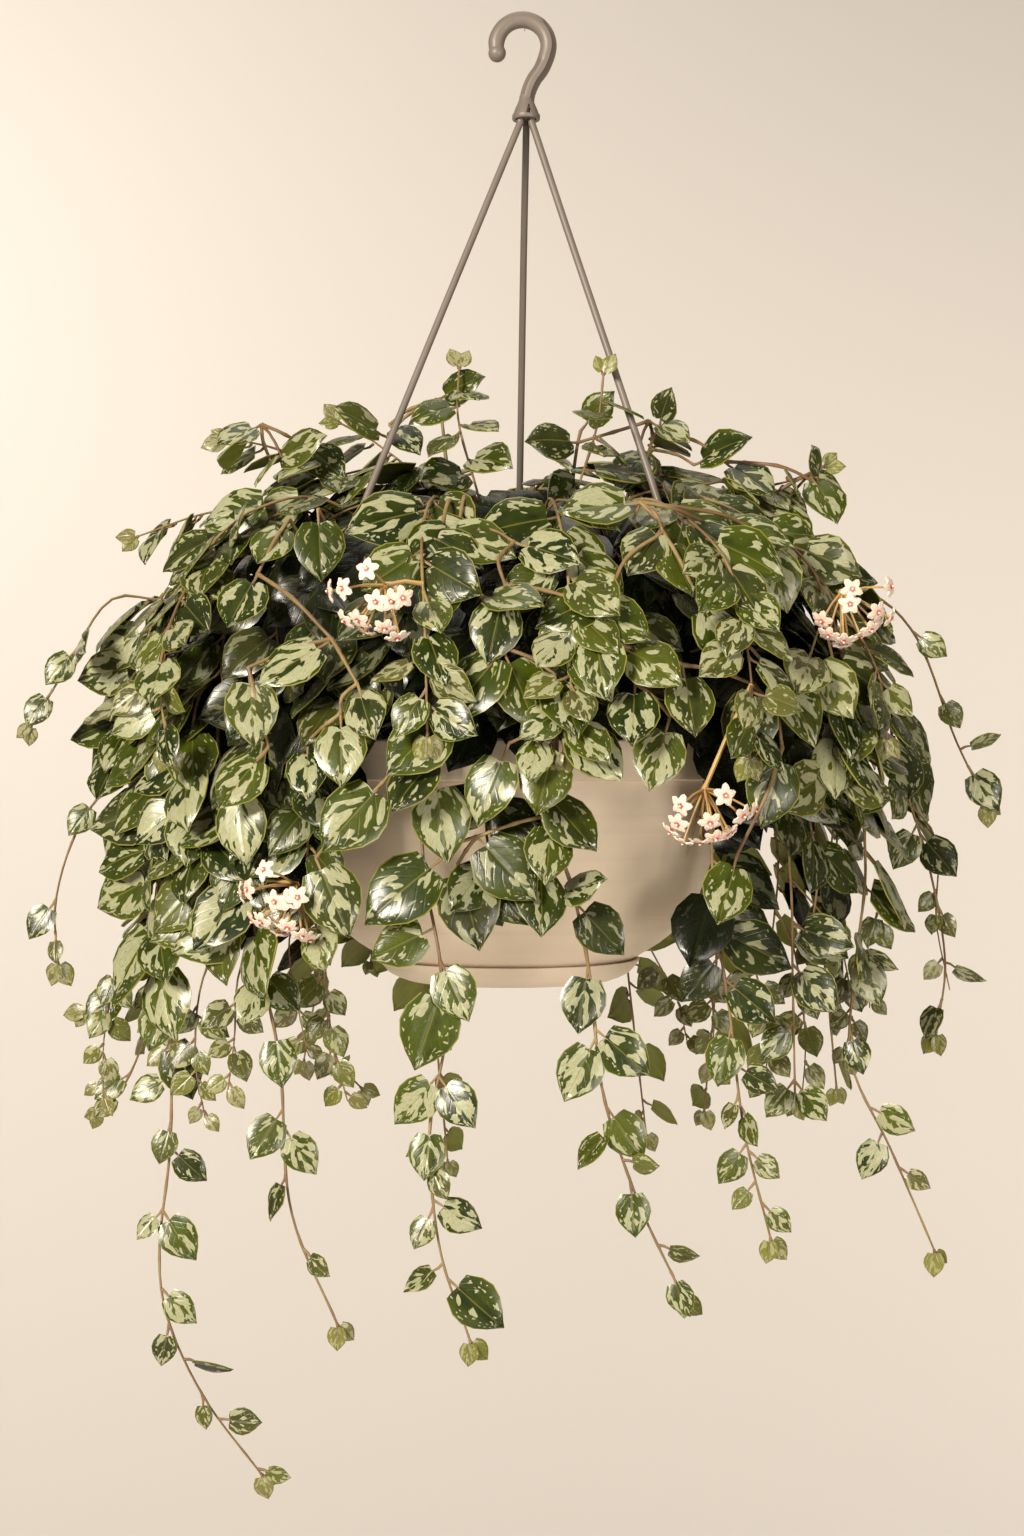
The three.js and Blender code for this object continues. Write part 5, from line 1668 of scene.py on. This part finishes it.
class BASKET_OT_hook(bpy.types.Operator):
    """Moulded hook: a round bend with a ball end, a channelled neck and a flared collar"""
    bl_idname = "basket.hook"
    bl_label = "Hook"

    def execute(self, context):
        plastic = hanger_paint()
        cx, cz = HOOK_CENTRE
        points = []
        for turn in range(HOOK_BEND_FROM, HOOK_BEND_TO - 1, -HOOK_BEND_STEP):
            a = math.radians(turn)
            points.append([cx + HOOK_BEND * math.cos(a), 0, cz + HOOK_BEND * math.sin(a)])
        tip = np.array(points[0])
        route = Route(points + [list(p) for p in HOOK_NECK])
        run = []
        for i, p in enumerate(route.spaced(60)):
            radius = HOOK_RADIUS - HOOK_NECK_TAPER * min(1.0, max(0.0, (i - 38) / 16))
            run.append((p * MM, (HOOK_TIP_RADIUS if i < 4 else radius) * MM))
        body = wires("hook_moulding", [run], sides=6)
        path = np.array(route.spaced(HOOK_MARKS))
        tangents = np.gradient(path, axis=0)

        def in_channel(co):
            q = np.array(co) / MM
            i = int(np.argmin(np.sum((path - q) ** 2, axis=1)))
            if not CHANNEL_FROM <= i <= CHANNEL_TO:
                return False
            side = q - path[i]
            t = unit(tangents[i])
            outer = np.array([-t[2], 0, t[0]])
            outer = outer if outer @ (path[i] - np.array([cx, 0, cz])) > 0 else -outer
            angle = math.degrees(math.atan2(-side[1], side @ outer))
            return 20 < abs(angle) < 62 or 118 < abs(angle) < 160 and i > INNER_CHANNEL_FROM

        take(body)
        bpy.ops.object.mode_set(mode="EDIT")
        choose(in_channel)
        bpy.ops.transform.shrink_fatten(value=-CHANNEL_DEPTH * MM)
        bpy.ops.mesh.select_all(action="SELECT")
        bpy.ops.transform.resize(value=(1, HOOK_FLATTENING, 1), center_override=(0, 0, 0))
        bpy.ops.object.mode_set(mode="OBJECT")

        clear_selection()
        bpy.ops.mesh.primitive_uv_sphere_add(segments=24, ring_count=14, radius=4.0 * MM, location=tip * MM)
        ball = named("hook_ball")
        collar = turned("hook_collar", [(r * MM, z * MM) for r, z in COLLAR], 48, (COLLAR_X * MM, 0, 0))
        window = self.block((WINDOW_X, -5.2, WINDOW_HEIGHT), (2.6, 3.6, 4.4))
        take(window)
        bpy.ops.object.mode_set(mode="EDIT")
        choose(lambda co: co.z > WINDOW_HEIGHT * MM)
        bpy.ops.transform.resize(value=(0.25, 1, 1), center_override=(WINDOW_X * MM, 0, 0))
        bpy.ops.object.mode_set(mode="OBJECT")
        for part, operation in ((ball, "UNION"), (collar, "UNION"), (window, "DIFFERENCE")):
            combine(body, part, operation)
        for azimuth in ARM_AZIMUTHS.values():
            a = math.radians(azimuth)
            across, back = COLLAR_X + SOCKET_RING * math.cos(a), SOCKET_RING * math.sin(a)
            drill(body, SOCKET_RADIUS, 9, (across, back, COLLAR_FOOT))
        nub = self.block((-0.1, 0, -0.55), (0.5, 0.6, 1.4))
        combine(body, nub, "UNION")
        remove(ball, collar, window, nub)
        settle(body, plastic)
        outward_faces(body)
        smooth(body, 38)
        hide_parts("hook")
        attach(body, "root")
        return {"FINISHED"}

    def block(self, centre, size):
        clear_selection()
        bpy.ops.mesh.primitive_cube_add(
            size=1.0, location=[c * MM for c in centre], scale=[s * MM for s in size])
        o = named("block")
        bpy.ops.object.transform_apply(location=True, rotation=True, scale=True)
        return o


class BASKET_OT_arms(bpy.types.Operator):
    """Three slim arms, each with a peg in the hook's collar and a clip over the rim"""
    bl_idname = "basket.arms"
    bl_label = "Arms"

    def execute(self, context):
        plastic = bpy.data.materials["hanger_plastic"]
        for name, azimuth in ARM_AZIMUTHS.items():
            line = arm_line(azimuth)
            spots = Route(line).spaced(40)
            rod = wires(f"{name}_rod", [
                [(metres(p), ARM_RADIUS * MM) for p in spots],
                [(metres(line[0] + UP * z), ARM_RADIUS * MM) for z in (-0.7, 2.0, 5.5)]], sides=4)
            settle(rod, plastic)
            clip = self.clip(azimuth)
            clip.data.materials.append(plastic)
            join(rod, clip)
            smooth(rod, 40)
            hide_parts(name)
            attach(rod, "root")
        return {"FINISHED"}

    def clip(self, azimuth):
        """A bar that is folded down on both sides of the rim by extruding its ends."""
        inner, outer, wall, width = 95.6, 102.3, 1.8, 9.0
        rest, top, low = 0.3, 3.6, -8.0
        clear_selection()
        bpy.ops.mesh.primitive_cube_add(size=1.0)
        o = named("clip")
        bpy.ops.object.mode_set(mode="EDIT")
        bpy.ops.transform.resize(value=(outer - inner, width, top - rest), center_override=(0, 0, 0))
        bpy.ops.transform.translate(value=((outer + inner) / 2, 0, (top + rest) / 2))
        for edge, step in ((outer, wall), (inner, -wall)):
            choose_faces(lambda f, edge=edge: abs(f.center.x - edge) < 0.01)
            bpy.ops.mesh.extrude_region_move(TRANSFORM_OT_translate={"value": (step, 0, 0)})
            middle = edge + step / 2
            choose_faces(lambda f, middle=middle: f.normal.z < -0.9 and abs(f.center.x - middle) < 0.3)
            bpy.ops.mesh.extrude_region_move(TRANSFORM_OT_translate={"value": (0, 0, low - rest)})
        bpy.ops.mesh.select_all(action="SELECT")
        bpy.ops.transform.resize(value=(MM, MM, MM), center_override=(0, 0, 0))
        bpy.ops.object.mode_set(mode="OBJECT")
        take(o)
        o.rotation_euler = (0, 0, math.radians(azimuth))
        o.location = Vector(AXIS * MM)
        bpy.ops.object.transform_apply(location=True, rotation=True, scale=True)
        apply_modifier(o, "BEVEL", width=0.45 * MM, segments=2, limit_method="ANGLE")
        outward_faces(o)
        return o


def eased(profile, parts):
    """A profile with its long spans cut into smooth steps."""
    route = Route([(r, 0, z) for r, z in profile])
    count = (len(profile) - 1) * parts
    return [(p[0], p[2]) for p in (route.point(i / count) for i in range(count + 1))]


POT_DEPTH = 104.4
POT_WALL = 2.4
DRAIN_COUNT = 4
DRAIN_RADIUS = 4
DRAIN_RING = 28
# Lines of the bowl: [distance from the axis, height over the rim]
BOWL_OUTSIDE = [(97.2, -17.9), (96.2, -30), (93.4, -44), (83.9, -71.2), (72.4, -86), (58, -95.6),
                (44.6, -103.9)]
BOWL_INSIDE = [(94.8, -17.6), (94.0, -30), (91, -43.4), (81.8, -69.8), (70.5, -84), (56.6, -93.2),
               (43.2, -101.9)]
RIM_BAND = [(98.6, -0.6), (99.2, -0.1), (100.4, 0), (101.4, -0.3), (102, -1.1), (101.9, -6), (101.5, -15.8),
            (101.2, -16.8), (100.4, -17.2), (97.6, -17.3)]
SAUCER_FLOOR = -104.7
SAUCER_WALL = 1.8


class BASKET_OT_pot(bpy.types.Operator):
    """Rounded bowl with a plain band at its rim and four drain holes"""
    bl_idname = "basket.pot"
    bl_label = "Pot"

    def execute(self, context):
        plastic = bowl_paint()
        profile = [(0, -POT_DEPTH), (43, -POT_DEPTH), *eased(BOWL_OUTSIDE, 3)[::-1], *RIM_BAND[::-1],
                   (98.0, -2.0), *eased(BOWL_INSIDE, 3), (0, POT_WALL - POT_DEPTH)]
        pot = turned("bowl", [(r * MM, z * MM) for r, z in profile], sizes().spin_steps, AXIS * MM)
        for i in range(DRAIN_COUNT):
            a = math.radians(45 + 360 / DRAIN_COUNT * i)
            place = AXIS + np.array([DRAIN_RING * math.cos(a), DRAIN_RING * math.sin(a), -POT_DEPTH])
            drill(pot, DRAIN_RADIUS, 9.6, place)
        settle(pot, plastic)
        outward_faces(pot)
        smooth(pot, 35)
        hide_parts("pot")
        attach(pot, "root")
        return {"FINISHED"}


class BASKET_OT_saucer(bpy.types.Operator):
    """Shallow drip saucer clipped under the bowl"""
    bl_idname = "basket.saucer"
    bl_label = "Saucer"

    def execute(self, context):
        floor, foot = SAUCER_FLOOR, SAUCER_FLOOR - SAUCER_WALL
        profile = [(0, foot), (45.6, foot), (46.6, floor - 1.6), (50.6, floor - 0.2), (54, floor + 1.6),
                   (56.6, floor + 4.4), (58.4, -97.6), (58.6, -97.2), (58.3, -97.0), (57.2, -97.0),
                   (56.9, -97.3), (54.9, floor + 5.6), (52.4, floor + 3.2), (49, floor + 1.3),
                   (45.8, floor), (0, floor)]
        saucer = turned("drip_saucer", [(r * MM, z * MM) for r, z in profile], sizes().spin_steps, AXIS * MM)
        settle(saucer, bpy.data.materials["bowl_plastic"])
        smooth(saucer, 35)
        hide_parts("saucer")
        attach(saucer, "root")
        return {"FINISHED"}


CHIP_COUNT = 230
CHIP_REACH = 92


def soil_height(radius):
    """The soil's top at a distance from the pot's axis: a low mound with a steeper edge."""
    return -9 - 2.5 * radius / 60 if radius < 60 else -11.5 - 3.5 * (radius - 60) / 34.6


class BASKET_OT_soil(bpy.types.Operator):
    """Bark and peat: the solid keeps its shape, and loose chips lie on top"""
    bl_idname = "basket.soil"
    bl_label = "Soil"

    def execute(self, context):
        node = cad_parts["soil"]
        node.data.materials.clear()
        node.data.materials.append(soil_paint("soil_crumb", 1.0))
        dice = random.Random(61)
        clear_selection()
        bpy.ops.mesh.primitive_cube_add(size=1.0)
        chip = named("bark_chip")
        bpy.ops.object.mode_set(mode="EDIT")
        bpy.ops.mesh.select_all(action="SELECT")
        bpy.ops.mesh.bevel(offset=0.16, segments=1, affect="EDGES")
        bpy.ops.object.mode_set(mode="OBJECT")
        chip.data.materials.append(soil_paint("bark_chip", 1.8))
        corners = points_of(chip)
        copies = []
        for _ in range(CHIP_COUNT):
            radius, turn = CHIP_REACH * math.sqrt(dice.random()), dice.uniform(0, 2 * math.pi)
            size = np.array([dice.uniform(3, 8), dice.uniform(2, 5), dice.uniform(1.2, 2.6)])
            tilt = Vector((dice.uniform(-0.3, 0.3), dice.uniform(-0.3, 0.3), 1)).normalized()
            matrix = facing(tilt, dice.uniform(0, 6.28))
            height = soil_height(radius) + 0.35 * size[2]
            spot = np.array([radius * math.cos(turn), radius * math.sin(turn), height])
            jitter = 1 + 0.3 * np.array([[dice.uniform(-1, 1) for _ in range(3)] for _ in corners])
            copies.append(copy_at(chip, "bark_chip", metres((corners * jitter * size) @ matrix.T + spot)))
        remove(chip)
        join(*copies)
        bark = named("bark_chips")
        outward_faces(bark)
        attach(bark, "root")
        return {"FINISHED"}


# The studio, in metres. The floor sweeps up into the wall behind the basket.
FLOOR_WIDTH = 10.0
FLOOR_DEPTH = 8.0
FLOOR_HEIGHT = -1.6
WALL_PLACE = 3.4
WALL_HEIGHT = 5.0
SWEEP_RADIUS = 1.5
WARM = (1.0, 0.94, 0.86)
# Soft lights: name, place, what it points at, size, watts, colour
LIGHTS = [
    ("key_light", (-1.35, -2.1, 0.55), (0.05, 0, -0.33), 0.6, 100, (1.0, 0.92, 0.78)),
    ("front_light", (1.0, -1.9, -0.45), (0.02, 0, -0.42), 0.9, 23, (1.0, 0.92, 0.82)),
    ("top_light", (0.1, 0.4, 1.6), (0.0, 0, -0.3), 1.2, 8, WARM),
    ("wall_light", (-1.9, 1.6, 0.7), (-0.6, 3.4, 0.4), 1.6, 46, WARM),
    ("wall_fill", (1.9, 1.6, -0.4), (0.5, 3.4, 0.1), 1.6, 25, WARM),
]
AIR_COLOUR = (1.0, 0.87, 0.62, 1)
AIR_STRENGTH = 0.2
SENSOR_HEIGHT = 36
FOCAL_LENGTH = 52.08


class BASKET_OT_studio(bpy.types.Operator):
    """Pale floor and wall in one sweep, soft lights and the camera"""
    bl_idname = "basket.studio"
    bl_label = "Studio"

    def execute(self, context):
        c = colours()
        scene = context.scene
        clear_selection()
        bpy.ops.mesh.primitive_plane_add(size=1.0, location=(0, 0, 0))
        floor = named("studio_floor")
        bpy.ops.object.mode_set(mode="EDIT")
        bpy.ops.mesh.select_all(action="SELECT")
        bpy.ops.transform.resize(value=(FLOOR_WIDTH, FLOOR_DEPTH, 1), center_override=(0, 0, 0))
        bpy.ops.transform.translate(value=(0, WALL_PLACE - FLOOR_DEPTH / 2, FLOOR_HEIGHT))
        bpy.ops.mesh.select_mode(type="EDGE")
        bpy.ops.mesh.select_all(action="DESELECT")
        bpy.ops.object.mode_set(mode="OBJECT")
        for e in floor.data.edges:
            e.select = all(floor.data.vertices[i].co.y > WALL_PLACE - 0.1 for i in e.vertices)
        bpy.ops.object.mode_set(mode="EDIT")
        bpy.ops.mesh.extrude_region_move(TRANSFORM_OT_translate={"value": (0, 0, WALL_HEIGHT)})
        bpy.ops.object.mode_set(mode="OBJECT")
        wall_paint = Paint("studio_wall")
        cloud = wall_paint.noise(wall_paint.place(), 0.8, detail=1.0)
        wall_paint.finish(wall_paint.mix(cloud, shade(c.wall, 0.985), shade(c.wall, 1.01)), 0.9)
        settle(floor, wall_paint.material)
        apply_modifier(floor, "BEVEL", width=SWEEP_RADIUS, segments=24, limit_method="ANGLE")
        smooth(floor, 80)

        for name, place, target, size, power, colour in LIGHTS:
            clear_selection()
            bpy.ops.object.light_add(type="AREA", location=place)
            light = named(name)
            light.data.size = size
            light.data.energy = power
            light.data.color = colour
            aim = Vector(target) - Vector(place)
            light.rotation_euler = aim.to_track_quat("-Z", "Y").to_euler()

        world = bpy.data.worlds.new("studio_air")
        scene.world = world
        world.use_nodes = True
        air = world.node_tree.nodes["Background"]
        air.inputs["Color"].default_value = AIR_COLOUR
        air.inputs["Strength"].default_value = AIR_STRENGTH
        scene.view_settings.view_transform = "Standard"

        bpy.ops.object.camera_add(location=metres(EYE), rotation=(math.pi / 2, 0, 0))
        camera = named("studio_camera")
        camera.data.sensor_fit = "VERTICAL"
        camera.data.sensor_height = SENSOR_HEIGHT
        camera.data.lens = FOCAL_LENGTH
        camera.data.clip_end = 50
        scene.camera = camera
        return {"FINISHED"}


class BASKET_PT_panel(bpy.types.Panel):
    """Buttons for each group of pieces, and their sizes and colours"""
    bl_idname = "BASKET_PT_panel"
    bl_label = "Hanging Basket"
    bl_space_type = "VIEW_3D"
    bl_region_type = "UI"
    bl_category = "Basket"

    def draw(self, context):
        column = self.layout.column(align=True)
        for operator in STEPS:
            column.operator(operator.bl_idname)
        for group in (context.scene.basket_sizes, context.scene.basket_colours):
            box = self.layout.box()
            for name in group.__annotations__:
                box.prop(group, name)


STEPS = (BASKET_OT_hook, BASKET_OT_arms, BASKET_OT_pot, BASKET_OT_saucer, BASKET_OT_soil,
         BASKET_OT_foliage, BASKET_OT_umbels, BASKET_OT_studio)
CLASSES = (BasketSizes, BasketColours, *STEPS, BASKET_PT_panel)


def register():
    for cls in CLASSES:
        bpy.utils.register_class(cls)
    bpy.types.Scene.basket_sizes = bpy.props.PointerProperty(type=BasketSizes)
    bpy.types.Scene.basket_colours = bpy.props.PointerProperty(type=BasketColours)


def unregister():
    del bpy.types.Scene.basket_colours
    del bpy.types.Scene.basket_sizes
    for cls in reversed(CLASSES):
        bpy.utils.unregister_class(cls)


def main():
    register()
    bpy.ops.basket.hook()
    bpy.ops.basket.arms()
    bpy.ops.basket.pot()
    bpy.ops.basket.saucer()
    bpy.ops.basket.soil()
    bpy.ops.basket.foliage()
    bpy.ops.basket.umbels()
    bpy.ops.basket.studio()


if __name__ == "__main__":
    main()
